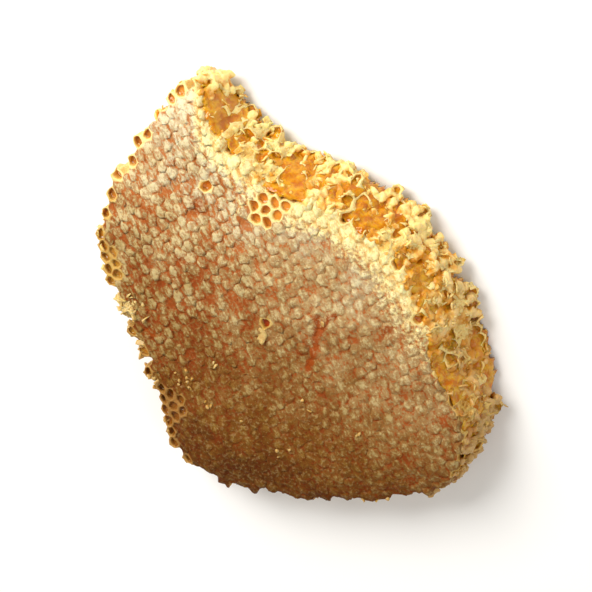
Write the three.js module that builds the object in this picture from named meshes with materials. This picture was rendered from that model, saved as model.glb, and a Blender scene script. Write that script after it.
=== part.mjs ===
// Honeycomb piece: a slab of natural comb torn from its frame, lying on its back face.
//
// The comb is two layers of hexagonal wax cells set back to back on a wax midrib, full of honey.
// Each back cell lies under a corner where three front cells meet. Most cells are capped. Along the
// upper right the slab is torn on a steep slope that opens the cells down to the back layer; the
// left and lower edges broke off along the cell walls.
//
// Millimetres, +Z up out of the front caps, +Y towards the slab's tip. The origin is the middle of
// the footprint's bounding box, at the height of the surface that the slab rests on.

import * as THREE from "three";

// ---------------------------------------------------------------- driving dimensions

const CELL_PITCH = 5.4; // across the flats of one worker cell
const CELL_RADIUS = CELL_PITCH / Math.sqrt(3);
const LATTICE_TURN = THREE.MathUtils.degToRad(11); // how far the rows lean from the frame's axes
// Middle of the footprint's bounding box, in the axes of the outline below.
const FOOTPRINT_MIDDLE = new THREE.Vector2(-2.9, -2.5);

const CROWN_HEIGHT = 34; // front face over the resting surface, at its middle
const DOME_DROP = 3.5; // how far the front face falls from its middle to the reach of the slab
const FACE_REACH = 95; // distance from the middle over which the dome falls
const EDGE_ROLL_DROP = 6.5; // extra fall of the front face at the outline
const EDGE_ROLL_LENGTH = 13;
const FACE_SWELL = 1.3; // height of the face's slow, uneven swelling
const FACE_SWELL_LENGTH = 34;

const MIDRIB_HEIGHT = 15.5; // the wax sheet that the two layers share
const BACK_ROLL_RISE = 4; // how far the back face lifts off the surface at the outline
const BACK_ROLL_LENGTH = 17; // further in than this from the outline, the back is pressed flat

const CAP_RISE = [0.5, 1.4]; // lowest and highest dome of a front cap over its corners
const BACK_CAP_RISE = 0.8;
const OPEN_CELL_INSET = 0.76; // honey surface of an open cell, as a share of the cell's radius
const OPEN_CELL_DEPTH = [2.2, 4.2];
const LEAST_WALL = 1.6; // lowest stub of cell wall that stays where the slab tore

const TEAR_TOE_HEIGHT = 3.5; // height of the torn slope where it starts
const TEAR_START = 2.5; // how far outside the outline it starts
const TEAR_RAGGEDNESS = 2; // how unevenly the cell walls tore
const TEAR_SWELL = 2.2;
const TEAR_SWELL_LENGTH = 12;
const HONEY_BELOW_TORN_RIM = 0.9;
const CRUSHED_RIM_REACH = 9; // caps no further than this under the tear are crushed into lumps
const CRUSHED_RISE = 2.2;

// A furrow where the caps cracked, as x and y of its corners.
const CRACK = [
  [15, -5],
  [10, -11],
  [7, -29],
];
const CRACK_DEPTH = 1.3;
const CRACK_WIDTH = 2.2;

const EDGE_MARGIN = 0.8; // a cell belongs to the slab if its centre is this far inside the outline
const RAGGED_EDGE_REACH = 3.1; // cells whose centre is closer to the outline may have broken off
const RAGGED_EDGE_SHARE = 0.22;

const FLUTE_SHARE = 0.7; // of the capped cells at the edge, those that broke open lengthwise
const FLUTE_DEPTH = { rim: 0.3, middle: 0.8 }; // as a share of the way to the cell's middle

// The outline of the slab, anticlockwise from the tip, as x, y and the plan width of the slope on
// which the edge tore there. A smooth closed curve runs through these points.
const OUTLINE = [
  [-38, 91, 12],
  [-55, 87, 2],
  [-71, 64, 1],
  [-87, 37, 1],
  [-90, 12, 1],
  [-81, -17, 1],
  [-69, -45, 1],
  [-61, -72, 1],
  [-47, -90, 1],
  [-10, -96, 2],
  [36, -92, 3],
  [70, -79, 7],
  [84, -50, 17],
  [80, -16, 24],
  [65, 15, 21],
  [45, 41, 19],
  [15, 56, 18],
  [-14, 66, 17],
];
const OUTLINE_STEPS = 8; // straight pieces for each span of the outline

// Places where the tear bit deeper: x, y, radius and depth.
const SCOOPS = [
  [-31, 77, 9, 9],
  [1, 51, 8, 6],
  [33, 37, 7, 5],
  [73, -22, 12, 9],
];

// Patches of uncapped cells on the front face: x, y and radius.
const OPEN_PATCHES = [
  [-10, 40, 8.5],
  [-60, -57, 9],
  [-12, -12, 2.6],
  [48, 22, 3.4],
  [-40, 46, 2.8],
];
const OPEN_EDGE_STRIP = 4.3; // cells this close to the left edge lost their caps
const OPEN_EDGE_REACH = -48; // the strip runs where x is below this

const WAX_COLOUR = 0xd9a866;
const WAX_ROUGHNESS = 0.55;

// ---------------------------------------------------------------- repeatable unevenness

const SEED = { face: 1, tear: 2, strayX: 11, strayY: 12, luck: 13, flute: 14 };

// A number from 0 to 1 that depends only on the three values given.
function chance(a, b, c) {
  const wave = Math.sin(a * 127.1 + b * 311.7 + c * 74.7) * 43758.5453;
  return wave - Math.floor(wave);
}

// Slow unevenness from -1 to 1, with hills about one length apart.
function swell(x, y, length, seed) {
  const column = Math.floor(x / length);
  const row = Math.floor(y / length);
  const across = THREE.MathUtils.smoothstep(x / length - column, 0, 1);
  const along = THREE.MathUtils.smoothstep(y / length - row, 0, 1);
  const near = THREE.MathUtils.lerp(chance(column, row, seed), chance(column + 1, row, seed), across);
  const far = THREE.MathUtils.lerp(chance(column, row + 1, seed), chance(column + 1, row + 1, seed), across);
  return 2 * THREE.MathUtils.lerp(near, far, along) - 1;
}

function between([low, high], share) {
  return low + (high - low) * share;
}

// ---------------------------------------------------------------- the slab's outer form

const outlineCurve = new THREE.CatmullRomCurve3(
  OUTLINE.map(([x, y, slope]) => new THREE.Vector3(x, y, slope)),
  true,
  "catmullrom",
);
const outline = outlineCurve.getPoints(OUTLINE.length * OUTLINE_STEPS);

// How far a point lies inside the outline, and how wide the torn slope is at the nearest edge.
function edgeAt(x, y) {
  let nearest = Infinity;
  let slope = 0;
  let inside = false;
  for (let i = 1; i < outline.length; i += 1) {
    const a = outline[i - 1];
    const b = outline[i];
    const dx = b.x - a.x;
    const dy = b.y - a.y;
    const share = THREE.MathUtils.clamp(((x - a.x) * dx + (y - a.y) * dy) / (dx * dx + dy * dy), 0, 1);
    const gap = Math.hypot(x - a.x - share * dx, y - a.y - share * dy);
    if (gap < nearest) {
      nearest = gap;
      slope = a.z + share * (b.z - a.z);
    }
    if (a.y > y !== b.y > y && x < a.x + ((y - a.y) / dy) * dx) inside = !inside;
  }
  return { depth: inside ? nearest : -nearest, slope };
}

function distanceToPath(x, y, corners) {
  const gaps = corners.slice(1).map(([bx, by], i) => {
    const [ax, ay] = corners[i];
    const share = ((x - ax) * (bx - ax) + (y - ay) * (by - ay)) / ((bx - ax) ** 2 + (by - ay) ** 2);
    const along = THREE.MathUtils.clamp(share, 0, 1);
    return Math.hypot(x - THREE.MathUtils.lerp(ax, bx, along), y - THREE.MathUtils.lerp(ay, by, along));
  });
  return Math.min(...gaps);
}

// Height of the front face, as if nothing were torn away.
function frontHeight(x, y) {
  const depth = Math.max(edgeAt(x, y).depth, 0);
  const dome = DOME_DROP * ((x * x + y * y) / (FACE_REACH * FACE_REACH));
  const roll = EDGE_ROLL_DROP * Math.exp(-depth / EDGE_ROLL_LENGTH);
  const crack = CRACK_DEPTH * Math.exp(-((distanceToPath(x, y, CRACK) / CRACK_WIDTH) ** 2));
  return CROWN_HEIGHT - dome - roll - crack + FACE_SWELL * swell(x, y, FACE_SWELL_LENGTH, SEED.face);
}

// Height of the back face: flat on the surface, lifting near the outline.
function backHeight(x, y) {
  const lift = THREE.MathUtils.clamp(1 - edgeAt(x, y).depth / BACK_ROLL_LENGTH, 0, 1);
  return BACK_ROLL_RISE * lift * lift;
}

// Height of the surface on which the slab tore. It starts from the outer corners of the outermost
// cells, and climbs past the front face inside the slab.
function tearHeight(x, y) {
  const { depth, slope } = edgeAt(x, y);
  const share = Math.max(depth + TEAR_START, 0) / slope;
  const climb = THREE.MathUtils.lerp(TEAR_TOE_HEIGHT, CROWN_HEIGHT, share);
  const bitten = SCOOPS.reduce(
    (sum, [sx, sy, radius, scoop]) => sum + scoop * Math.exp(-((x - sx) ** 2 + (y - sy) ** 2) / radius ** 2),
    0,
  );
  return climb - bitten + TEAR_SWELL * swell(x, y, TEAR_SWELL_LENGTH, SEED.tear);
}

// ---------------------------------------------------------------- the lattice of cells

// Both layers stand on one triangular lattice, whose steps are a cell's radius. Its points fall in
// three classes: middles of front cells, middles of back cells, and corners of both. So a front
// cell's corners are back middles and common corners by turns, and the other way about.
const FRONT_MIDDLE = 0;
const BACK_MIDDLE = 1;
const STEPS = [[1, 0], [0, 1], [-1, 1], [-1, 0], [0, -1], [1, -1]];
const JITTER = 0.28; // how far a lattice point strays at random, each way
const ROW_SWAY = 0.9; // how far the rows wander from straight lines
const ROW_SWAY_LENGTH = [23, 29];
const ROW_SWAY_PHASE = [1.3, 0.4];

const latticePoints = new Map();
const keyOf = (p, q) => `${p},${q}`;
const classOf = ({ p, q }) => (((p - q) % 3) + 3) % 3;

// A lattice point with its place, its distance inside the outline and its own share of luck.
function pointAt(p, q) {
  const key = keyOf(p, q);
  if (latticePoints.has(key)) return latticePoints.get(key);
  const at = new THREE.Vector2(CELL_RADIUS * (p + q / 2), (CELL_PITCH / 2) * q);
  at.rotateAround(new THREE.Vector2(), LATTICE_TURN);
  const swayX = ROW_SWAY * Math.sin(at.y / ROW_SWAY_LENGTH[0] + ROW_SWAY_PHASE[0]);
  const swayY = ROW_SWAY * Math.sin(at.x / ROW_SWAY_LENGTH[1] + ROW_SWAY_PHASE[1]);
  const x = at.x + swayX + JITTER * (2 * chance(p, q, SEED.strayX) - 1);
  const y = at.y + swayY + JITTER * (2 * chance(p, q, SEED.strayY) - 1);
  const point = { key, p, q, x, y, depth: edgeAt(x, y).depth, luck: chance(p, q, SEED.luck) };
  latticePoints.set(key, point);
  return point;
}

const ringOf = ({ p, q }) => STEPS.map(([dp, dq]) => pointAt(p + dp, q + dq));

// The middle of the cell across the wall between corners k and k + 1.
function acrossWall({ p, q }, k) {
  const [a, b] = [STEPS[k], STEPS[(k + 1) % 6]];
  return keyOf(p + a[0] + b[0], q + a[1] + b[1]);
}

function isPartOfSlab(point) {
  const brokeOff = point.depth < RAGGED_EDGE_REACH && point.luck < RAGGED_EDGE_SHARE;
  return point.depth > EDGE_MARGIN && !brokeOff;
}

const reach = Math.ceil((2 * FACE_REACH) / CELL_RADIUS);
const steps = Array.from({ length: 2 * reach + 1 }, (_, i) => i - reach);
const slab = steps.flatMap((p) => steps.map((q) => pointAt(p, q))).filter(isPartOfSlab);

// The front layer keeps the cells whose walls still stand above the midrib.
const frontCells = new Map(
  slab
    .filter((point) => classOf(point) === FRONT_MIDDLE)
    .filter(({ x, y }) => tearHeight(x, y) > MIDRIB_HEIGHT + LEAST_WALL)
    .map((point) => [point.key, point]),
);
const backCells = new Map(
  slab.filter((point) => classOf(point) === BACK_MIDDLE).map((point) => [point.key, point]),
);

const standsOn = (cells, point) => cells.has(point.key) || ringOf(point).some(({ key }) => cells.has(key));

// Takes away a front cell that would touch the rest of the slab in a single corner.
for (const [key, cell] of frontCells) {
  const pinched = ringOf(cell).some((corner) => {
    const around = ringOf(corner).filter(({ key: other }) => frontCells.has(other) || backCells.has(other));
    const beside = around.filter((other) => ringOf(cell).includes(other) && backCells.has(other.key));
    return classOf(corner) !== BACK_MIDDLE && around.length === 2 && beside.length === 0;
  });
  if (pinched) frontCells.delete(key);
}

// ---------------------------------------------------------------- heights of rims, caps and honey

const raggedness = (point) => TEAR_RAGGEDNESS * (2 * point.luck - 1);

function frontRim(point) {
  const { x, y, luck } = point;
  const rim = Math.min(frontHeight(x, y), tearHeight(x, y) + raggedness(point));
  return Math.max(rim, MIDRIB_HEIGHT + LEAST_WALL * (1 + luck));
}

// The midrib is whole under the front layer, and torn with the back cells beyond it.
function midribRim(point) {
  if (standsOn(frontCells, point)) return MIDRIB_HEIGHT;
  const rim = tearHeight(point.x, point.y) + raggedness(point);
  return THREE.MathUtils.clamp(rim, BACK_ROLL_RISE + LEAST_WALL, MIDRIB_HEIGHT);
}

function isUncapped({ x, y, depth }) {
  const onLeftEdge = x < OPEN_EDGE_REACH && depth < OPEN_EDGE_STRIP;
  return onLeftEdge || OPEN_PATCHES.some(([px, py, radius]) => Math.hypot(x - px, y - py) < radius);
}

// Height of the honey in an open front cell, or nothing if the cell is capped.
function frontHoney(cell) {
  const lowestRim = Math.min(...ringOf(cell).map(frontRim));
  if (tearHeight(cell.x, cell.y) < frontHeight(cell.x, cell.y)) return lowestRim - HONEY_BELOW_TORN_RIM;
  if (!isUncapped(cell)) return null;
  return Math.max(lowestRim - between(OPEN_CELL_DEPTH, cell.luck), MIDRIB_HEIGHT + LEAST_WALL / 2);
}

// Height of a front cap's middle. Caps next to the tear are crushed into lumps.
function frontCap({ x, y, luck }) {
  const aboveFace = tearHeight(x, y) - frontHeight(x, y);
  const crushed = CRUSHED_RISE * luck * Math.max(0, 1 - aboveFace / CRUSHED_RIM_REACH);
  return frontHeight(x, y) + between(CAP_RISE, luck) + crushed;
}

// Height of the honey in a back cell that the tear laid bare, or nothing if it is covered.
function bareBackHoney(cell) {
  if (ringOf(cell).some(({ key }) => frontCells.has(key))) return null;
  return Math.min(...ringOf(cell).map(midribRim)) - HONEY_BELOW_TORN_RIM;
}

// An edge cell may have broken open lengthwise, as a flute, where its cap still stands.
const brokeOpen = ({ p, q }) => chance(p, q, SEED.flute) < FLUTE_SHARE;

const front = {
  name: "front",
  cells: frontCells,
  isFlute: (cell) => frontHoney(cell) === null && brokeOpen(cell),
};
const back = {
  name: "back",
  cells: backCells,
  isFlute: (cell) => bareBackHoney(cell) === null && brokeOpen(cell),
};

// ---------------------------------------------------------------- the closed surface

const places = [];
const triangles = [];
const vertexNumbers = new Map();

function vertex(level, { key, x, y }, height) {
  const name = `${level} ${key}`;
  if (!vertexNumbers.has(name)) {
    vertexNumbers.set(name, places.length / 3);
    places.push(x, y, height);
  }
  return vertexNumbers.get(name);
}

const heightOf = (number) => places[3 * number + 2];

// Where a corner stands: on its lattice point, unless just one cell has that corner and is a flute.
// Then it stands back towards the cell's middle, by the share given.
function standing(point, layer, share) {
  const owners = ringOf(point).filter(({ key }) => layer.cells.has(key));
  const broken = owners.length === 1 && layer.isFlute(owners[0]);
  const place = new THREE.Vector2(point.x, point.y);
  if (broken) place.lerp(owners[0], share);
  return { key: point.key, x: place.x, y: place.y };
}

const frontVertex = (point) =>
  vertex("front", standing(point, front, FLUTE_DEPTH.rim), frontRim(point));
const backVertex = (point) =>
  vertex("back", standing(point, back, FLUTE_DEPTH.rim), backHeight(point.x, point.y));
const midribVertex = (point) => vertex("midrib", point, midribRim(point));

// The corners of every triangle and quad run anticlockwise, seen from outside the slab.
function addTriangle(a, b, c) {
  triangles.push(a, b, c);
}

function addQuad(a, b, c, d) {
  addTriangle(a, b, c);
  addTriangle(a, c, d);
}

// The outer walls of a layer: those that no cell of the same layer shares.
function addWalls(layer, upperVertex, lowerVertex) {
  const column = (corner) => {
    const [upper, lower] = [upperVertex(corner), lowerVertex(corner)];
    const height = (heightOf(upper) + heightOf(lower)) / 2;
    const middle = vertex(`${layer.name} middle`, standing(corner, layer, FLUTE_DEPTH.middle), height);
    return [upper, middle, lower];
  };
  for (const cell of layer.cells.values()) {
    const ring = ringOf(cell);
    ring.forEach((corner, k) => {
      if (layer.cells.has(acrossWall(cell, k))) return;
      const near = column(corner);
      const far = column(ring[(k + 1) % 6]);
      addQuad(near[0], near[1], far[1], far[0]);
      addQuad(near[1], near[2], far[2], far[1]);
    });
  }
}

// An uncapped cell: walls that thicken downwards from the rim to a flat surface of honey.
function addOpenCell(cell, level, rim, height) {
  const honey = ringOf(cell).map((corner, k) => {
    const x = THREE.MathUtils.lerp(cell.x, corner.x, OPEN_CELL_INSET);
    const y = THREE.MathUtils.lerp(cell.y, corner.y, OPEN_CELL_INSET);
    return vertex(`${level} honey ${k}`, { key: cell.key, x, y }, height);
  });
  honey.forEach((inner, k) => {
    const next = (k + 1) % 6;
    addQuad(inner, rim[k], rim[next], honey[next]);
    if (k > 0 && next > 0) addTriangle(honey[0], inner, honey[next]);
  });
}

function addFrontFace() {
  for (const cell of frontCells.values()) {
    const rim = ringOf(cell).map(frontVertex);
    const honey = frontHoney(cell);
    if (honey !== null) {
      addOpenCell(cell, "front", rim, honey);
      continue;
    }
    const hub = vertex("cap", cell, frontCap(cell));
    rim.forEach((corner, k) => addTriangle(hub, corner, rim[(k + 1) % 6]));
  }
}

// The midrib shows only where one layer reaches further than the other.
function addMidribLedges() {
  for (const cell of frontCells.values()) {
    const ring = ringOf(cell);
    ring.forEach((corner, k) => {
      const next = ring[(k + 1) % 6];
      if (backCells.has(corner.key) || backCells.has(next.key)) return;
      addTriangle(midribVertex(cell), midribVertex(next), midribVertex(corner));
    });
  }
  for (const cell of backCells.values()) {
    const ring = ringOf(cell);
    const honey = bareBackHoney(cell);
    if (honey !== null) {
      addOpenCell(cell, "back", ring.map(midribVertex), honey);
      continue;
    }
    ring.forEach((corner, k) => {
      const next = ring[(k + 1) % 6];
      if (frontCells.has(corner.key) || frontCells.has(next.key)) return;
      addTriangle(midribVertex(cell), midribVertex(corner), midribVertex(next));
    });
  }
}

// The back face: domed caps round the edge, and one flat patch where the slab lies on them.
function addBackFace() {
  const isFlat = (cell) => ringOf(cell).every(({ x, y }) => backHeight(x, y) === 0);
  const patchEdges = new Map();
  for (const cell of backCells.values()) {
    const ring = ringOf(cell).map(backVertex);
    if (isFlat(cell)) {
      ring.forEach((corner, k) => {
        const across = backCells.get(acrossWall(cell, k));
        if (!isFlat(across)) patchEdges.set(corner, ring[(k + 1) % 6]);
      });
      continue;
    }
    const hub = vertex("back cap", cell, Math.max(backHeight(cell.x, cell.y) - BACK_CAP_RISE, 0));
    ring.forEach((corner, k) => addTriangle(hub, ring[(k + 1) % 6], corner));
  }
  addPatch(patchEdges);
}

// Fills the flat region that a loop of directed edges runs round, facing down.
function addPatch(edges) {
  const loop = [];
  for (let at = edges.keys().next().value; edges.has(at); ) {
    loop.push(at);
    const next = edges.get(at);
    edges.delete(at);
    at = next;
  }
  const contour = loop.map((v) => new THREE.Vector2(places[3 * v], places[3 * v + 1]));
  for (const [a, b, c] of THREE.ShapeUtils.triangulateShape(contour, [])) {
    addTriangle(loop[a], loop[c], loop[b]);
  }
}

// ---------------------------------------------------------------- the honeycomb as one solid

addFrontFace();
addWalls(front, frontVertex, midribVertex);
addMidribLedges();
addWalls(back, midribVertex, backVertex);
addBackFace();

const geometry = new THREE.BufferGeometry();
geometry.setAttribute("position", new THREE.Float32BufferAttribute(places, 3));
geometry.setIndex(triangles);
geometry.translate(-FOOTPRINT_MIDDLE.x, -FOOTPRINT_MIDDLE.y, 0);
geometry.computeVertexNormals();

const honeycomb = new THREE.Mesh(
  geometry,
  new THREE.MeshStandardMaterial({ color: WAX_COLOUR, roughness: WAX_ROUGHNESS, metalness: 0 }),
);
honeycomb.name = "honeycomb";

const piece = new THREE.Group();
piece.add(honeycomb);

export default piece;
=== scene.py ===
# Honeycomb piece: a slab of natural comb, torn from its frame and full of honey, lying on its back
# caps. Metres, +Z up out of the front caps, +Y towards the slab's tip.

import itertools
import math

import bpy
import numpy as np
from mathutils import Matrix, Vector


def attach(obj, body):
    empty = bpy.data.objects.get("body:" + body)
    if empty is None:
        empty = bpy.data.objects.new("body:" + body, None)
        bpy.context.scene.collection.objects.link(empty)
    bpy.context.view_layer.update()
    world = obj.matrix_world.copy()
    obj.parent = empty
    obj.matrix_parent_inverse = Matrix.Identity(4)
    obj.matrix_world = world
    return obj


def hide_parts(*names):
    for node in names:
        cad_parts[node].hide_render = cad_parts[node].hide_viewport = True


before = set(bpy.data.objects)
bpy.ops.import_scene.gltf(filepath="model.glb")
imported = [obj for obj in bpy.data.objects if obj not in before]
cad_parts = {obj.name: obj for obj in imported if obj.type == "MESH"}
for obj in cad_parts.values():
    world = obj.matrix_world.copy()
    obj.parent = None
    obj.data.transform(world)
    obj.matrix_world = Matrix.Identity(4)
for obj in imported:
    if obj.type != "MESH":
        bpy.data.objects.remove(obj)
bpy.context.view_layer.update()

# ------------------------------------------------------------------------------ the comb
# Beeswax. Two layers of hexagonal cells stand back to back on a shared midrib, and each back cell
# lies under a corner where three front cells meet. Bees sealed most cells with domed wax caps. The
# slab tore on a steep slope at the upper right, and broke along its cell walls everywhere else.

MM = 0.001
CELL_PITCH = 5.4 * MM  # across the flats of one worker cell
CELL_RADIUS = CELL_PITCH / math.sqrt(3)
LATTICE_TURN = math.radians(11)
FOOTPRINT_MIDDLE = np.array([-2.9, -2.5]) * MM  # of the outline's own axes, over the frame's origin

CROWN_HEIGHT = 34 * MM
DOME_DROP = 3.5 * MM
FACE_REACH = 95 * MM
EDGE_ROLL_DROP = 6.5 * MM
EDGE_ROLL_LENGTH = 13 * MM
FACE_SWELL = 1.3 * MM
FACE_SWELL_LENGTH = 34 * MM
MIDRIB_HEIGHT = 15.5 * MM
BACK_ROLL_RISE = 4 * MM
BACK_ROLL_LENGTH = 17 * MM
LEAST_WALL = 1.6 * MM
OPEN_CELL_DEPTH = np.array([2.2, 4.2]) * MM
TEAR_TOE_HEIGHT = 3.5 * MM
TEAR_START = 2.5 * MM
TEAR_RAGGEDNESS = 2 * MM
TEAR_SWELL = 2.2 * MM
TEAR_SWELL_LENGTH = 12 * MM
HONEY_BELOW_TORN_RIM = 0.9 * MM
CRACK = np.array([[15, -5], [10, -11], [7, -29]]) * MM
CRACK_DEPTH = 1.3 * MM
CRACK_WIDTH = 2.2 * MM
EDGE_MARGIN = 0.8 * MM
RAGGED_EDGE_REACH = 3.1 * MM
RAGGED_EDGE_SHARE = 0.22
FLUTE_SHARE = 0.7
OPEN_EDGE_STRIP = 4.3 * MM
OPEN_EDGE_REACH = -48 * MM

# The outline, anticlockwise from the tip: x, y and the plan width of the slope that tore there.
OUTLINE = np.array([
    [-38, 91, 12], [-55, 87, 2], [-71, 64, 1], [-87, 37, 1], [-90, 12, 1], [-81, -17, 1],
    [-69, -45, 1], [-61, -72, 1], [-47, -90, 1], [-10, -96, 2], [36, -92, 3], [70, -79, 7],
    [84, -50, 17], [80, -16, 24], [65, 15, 21], [45, 41, 19], [15, 56, 18], [-14, 66, 17],
]) * MM
OUTLINE_STEPS = 8
POINTS_AT_ONCE = 20000  # when distances to the outline are measured, to save memory
SCOOPS = np.array([  # out of the tear: x, y, radius, depth
    [-31, 77, 9, 9], [1, 51, 8, 6], [33, 37, 7, 5], [73, -22, 12, 9],
]) * MM
OPEN_PATCHES = np.array([  # without caps: x, y, radius
    [-10, 40, 8.5], [-60, -57, 9], [-12, -12, 2.6], [48, 22, 3.4], [-40, 46, 2.8], [-87, 9, 9.5],
]) * MM

SCATTER = (127.1, 311.7, 74.7, 43758.5453)  # uneven numbers that make a sine wave look random
SEED = {"face": 1, "tear": 2, "stray_x": 11, "stray_y": 12, "luck": 13, "flute": 14}
FRONT_MIDDLE, BACK_MIDDLE = 0, 1
STEPS = [(1, 0), (0, 1), (-1, 1), (-1, 0), (0, -1), (1, -1)]
JITTER = 0.28 * MM
ROW_SWAY = 0.9 * MM
ROW_SWAY_LENGTH = np.array([23, 29]) * MM
ROW_SWAY_PHASE = [1.3, 0.4]


def chance(a, b, c):
    """A number from 0 to 1 that depends only on the three values given."""
    wave = np.sin(a * SCATTER[0] + b * SCATTER[1] + c * SCATTER[2]) * SCATTER[3]
    return wave - np.floor(wave)


def smooth(share):
    share = np.clip(share, 0, 1)
    return share * share * (3 - 2 * share)


def mix(low, high, share):
    return low + (high - low) * share


def swell(x, y, length, seed):
    """Unevenness from -1 to 1, with hills about one length apart."""
    column, row = np.floor(x / length), np.floor(y / length)
    across, along = smooth(x / length - column), smooth(y / length - row)
    near = mix(chance(column, row, seed), chance(column + 1, row, seed), across)
    far = mix(chance(column, row + 1, seed), chance(column + 1, row + 1, seed), across)
    return 2 * mix(near, far, along) - 1


def closed_curve(points, steps):
    """Points on the Catmull-Rom curve that runs through the given points and closes on itself."""
    before, after, beyond = (np.roll(points, shift, axis=0) for shift in (1, -1, -2))
    t = (np.arange(steps) / steps)[None, :, None]
    leave, arrive = (after - before) / 2, (beyond - points) / 2
    square = -3 * points + 3 * after - 2 * leave - arrive
    cube = 2 * points - 2 * after + leave + arrive
    terms = [term[:, None] for term in (points, leave, square, cube)]
    return sum(term * t**power for power, term in enumerate(terms)).reshape(-1, points.shape[1])


outline = closed_curve(OUTLINE, OUTLINE_STEPS)


def edge_at(x, y):
    """How far points lie inside the outline, and how wide the torn slope is at the nearest edge."""
    start, end = outline, np.roll(outline, -1, axis=0)
    run = end - start
    depth, slope = np.empty(x.shape), np.empty(x.shape)
    for part in np.array_split(np.arange(x.size), 1 + x.size // POINTS_AT_ONCE):
        px, py = x[part, None], y[part, None]
        share = (px - start[:, 0]) * run[:, 0] + (py - start[:, 1]) * run[:, 1]
        share = np.clip(share / (run[:, 0] ** 2 + run[:, 1] ** 2), 0, 1)
        gap = np.hypot(px - start[:, 0] - share * run[:, 0], py - start[:, 1] - share * run[:, 1])
        nearest = gap.argmin(axis=1)
        rows = np.arange(part.size)
        straddles = (start[:, 1] > py) != (end[:, 1] > py)
        climb = np.where(run[:, 1] == 0, 1, run[:, 1])
        crossing = start[:, 0] + (py - start[:, 1]) / climb * run[:, 0]
        inside = (straddles & (px < crossing)).sum(axis=1) % 2 == 1
        depth[part] = gap[rows, nearest] * np.where(inside, 1, -1)
        slope[part] = start[nearest, 2] + share[rows, nearest] * run[nearest, 2]
    return depth, slope


def gap_to_path(x, y, corners):
    gaps = []
    for (ax, ay), (bx, by) in zip(corners, corners[1:]):
        share = ((x - ax) * (bx - ax) + (y - ay) * (by - ay)) / ((bx - ax) ** 2 + (by - ay) ** 2)
        share = np.clip(share, 0, 1)
        gaps.append(np.hypot(x - mix(ax, bx, share), y - mix(ay, by, share)))
    return np.minimum.reduce(gaps)


def front_height(x, y):
    depth = np.maximum(edge_at(x, y)[0], 0)
    dome = DOME_DROP * (x * x + y * y) / FACE_REACH**2
    roll = EDGE_ROLL_DROP * np.exp(-depth / EDGE_ROLL_LENGTH)
    crack = CRACK_DEPTH * np.exp(-((gap_to_path(x, y, CRACK) / CRACK_WIDTH) ** 2))
    uneven = FACE_SWELL * swell(x, y, FACE_SWELL_LENGTH, SEED["face"])
    return CROWN_HEIGHT - dome - roll - crack + uneven


def back_height(x, y):
    return BACK_ROLL_RISE * np.clip(1 - edge_at(x, y)[0] / BACK_ROLL_LENGTH, 0, 1) ** 2


def tear_height(x, y):
    depth, slope = edge_at(x, y)
    climb = mix(TEAR_TOE_HEIGHT, CROWN_HEIGHT, np.maximum(depth + TEAR_START, 0) / slope)
    for sx, sy, radius, scoop in SCOOPS:
        climb = climb - scoop * np.exp(-((x - sx) ** 2 + (y - sy) ** 2) / radius**2)
    return climb + TEAR_SWELL * swell(x, y, TEAR_SWELL_LENGTH, SEED["tear"])


class Point:
    """A point of the lattice on which both layers stand: the middle of a cell, or a corner."""

    def __init__(self, p, q, x, y, depth, luck, face, tear, back):
        self.key, self.x, self.y, self.depth, self.luck = (p, q), x, y, depth, luck
        self.face, self.tear, self.back, self.kind = face, tear, back, (p - q) % 3
        self.place = np.array([x, y])

    def ring(self):
        return [points[self.key[0] + dp, self.key[1] + dq] for dp, dq in STEPS]

    def across(self, k):
        """The key of the cell beyond the wall between corners k and k + 1."""
        (ap, aq), (bp, bq) = STEPS[k], STEPS[(k + 1) % 6]
        return self.key[0] + ap + bp, self.key[1] + aq + bq


def make_points():
    reach = math.ceil(2 * FACE_REACH / CELL_RADIUS)
    p, q = (n.ravel() for n in np.meshgrid(*[np.arange(-reach, reach + 1)] * 2, indexing="ij"))
    across, along = CELL_RADIUS * (p + q / 2), CELL_PITCH / 2 * q
    x = across * math.cos(LATTICE_TURN) - along * math.sin(LATTICE_TURN)
    y = across * math.sin(LATTICE_TURN) + along * math.cos(LATTICE_TURN)
    sway_x = ROW_SWAY * np.sin(y / ROW_SWAY_LENGTH[0] + ROW_SWAY_PHASE[0])
    sway_y = ROW_SWAY * np.sin(x / ROW_SWAY_LENGTH[1] + ROW_SWAY_PHASE[1])
    x = x + sway_x + JITTER * (2 * chance(p, q, SEED["stray_x"]) - 1)
    y = y + sway_y + JITTER * (2 * chance(p, q, SEED["stray_y"]) - 1)
    rows = zip(p.tolist(), q.tolist(), x, y, edge_at(x, y)[0], chance(p, q, SEED["luck"]),
               front_height(x, y), tear_height(x, y), back_height(x, y))
    return {row[:2]: Point(*row) for row in rows}


points = make_points()


def is_part_of_slab(point):
    broke_off = point.depth < RAGGED_EDGE_REACH and point.luck < RAGGED_EDGE_SHARE
    return point.depth > EDGE_MARGIN and not broke_off


slab = [point for point in points.values() if is_part_of_slab(point)]
front_cells = {
    point.key: point
    for point in slab
    if point.kind == FRONT_MIDDLE and point.tear > MIDRIB_HEIGHT + LEAST_WALL
}
back_cells = {point.key: point for point in slab if point.kind == BACK_MIDDLE}


def is_pinched(cell):
    """Whether a front cell touches the rest of the slab in a single corner."""
    for corner in cell.ring():
        bared = [other for other in corner.ring() if other.key in back_cells]
        around = [other for other in corner.ring() if other.key in front_cells] + bared
        beside = [other for other in bared if other in cell.ring()]
        if corner.kind != BACK_MIDDLE and len(around) == 2 and not beside:
            return True
    return False


for key in list(front_cells):
    if is_pinched(front_cells[key]):
        del front_cells[key]


def shares_cell(cells, point):
    return point.key in cells or any(other.key in cells for other in point.ring())


def ragged_tear(point):
    return point.tear + TEAR_RAGGEDNESS * (2 * point.luck - 1)


def front_rim(point):
    return max(min(point.face, ragged_tear(point)), MIDRIB_HEIGHT + LEAST_WALL * (1 + point.luck))


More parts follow.
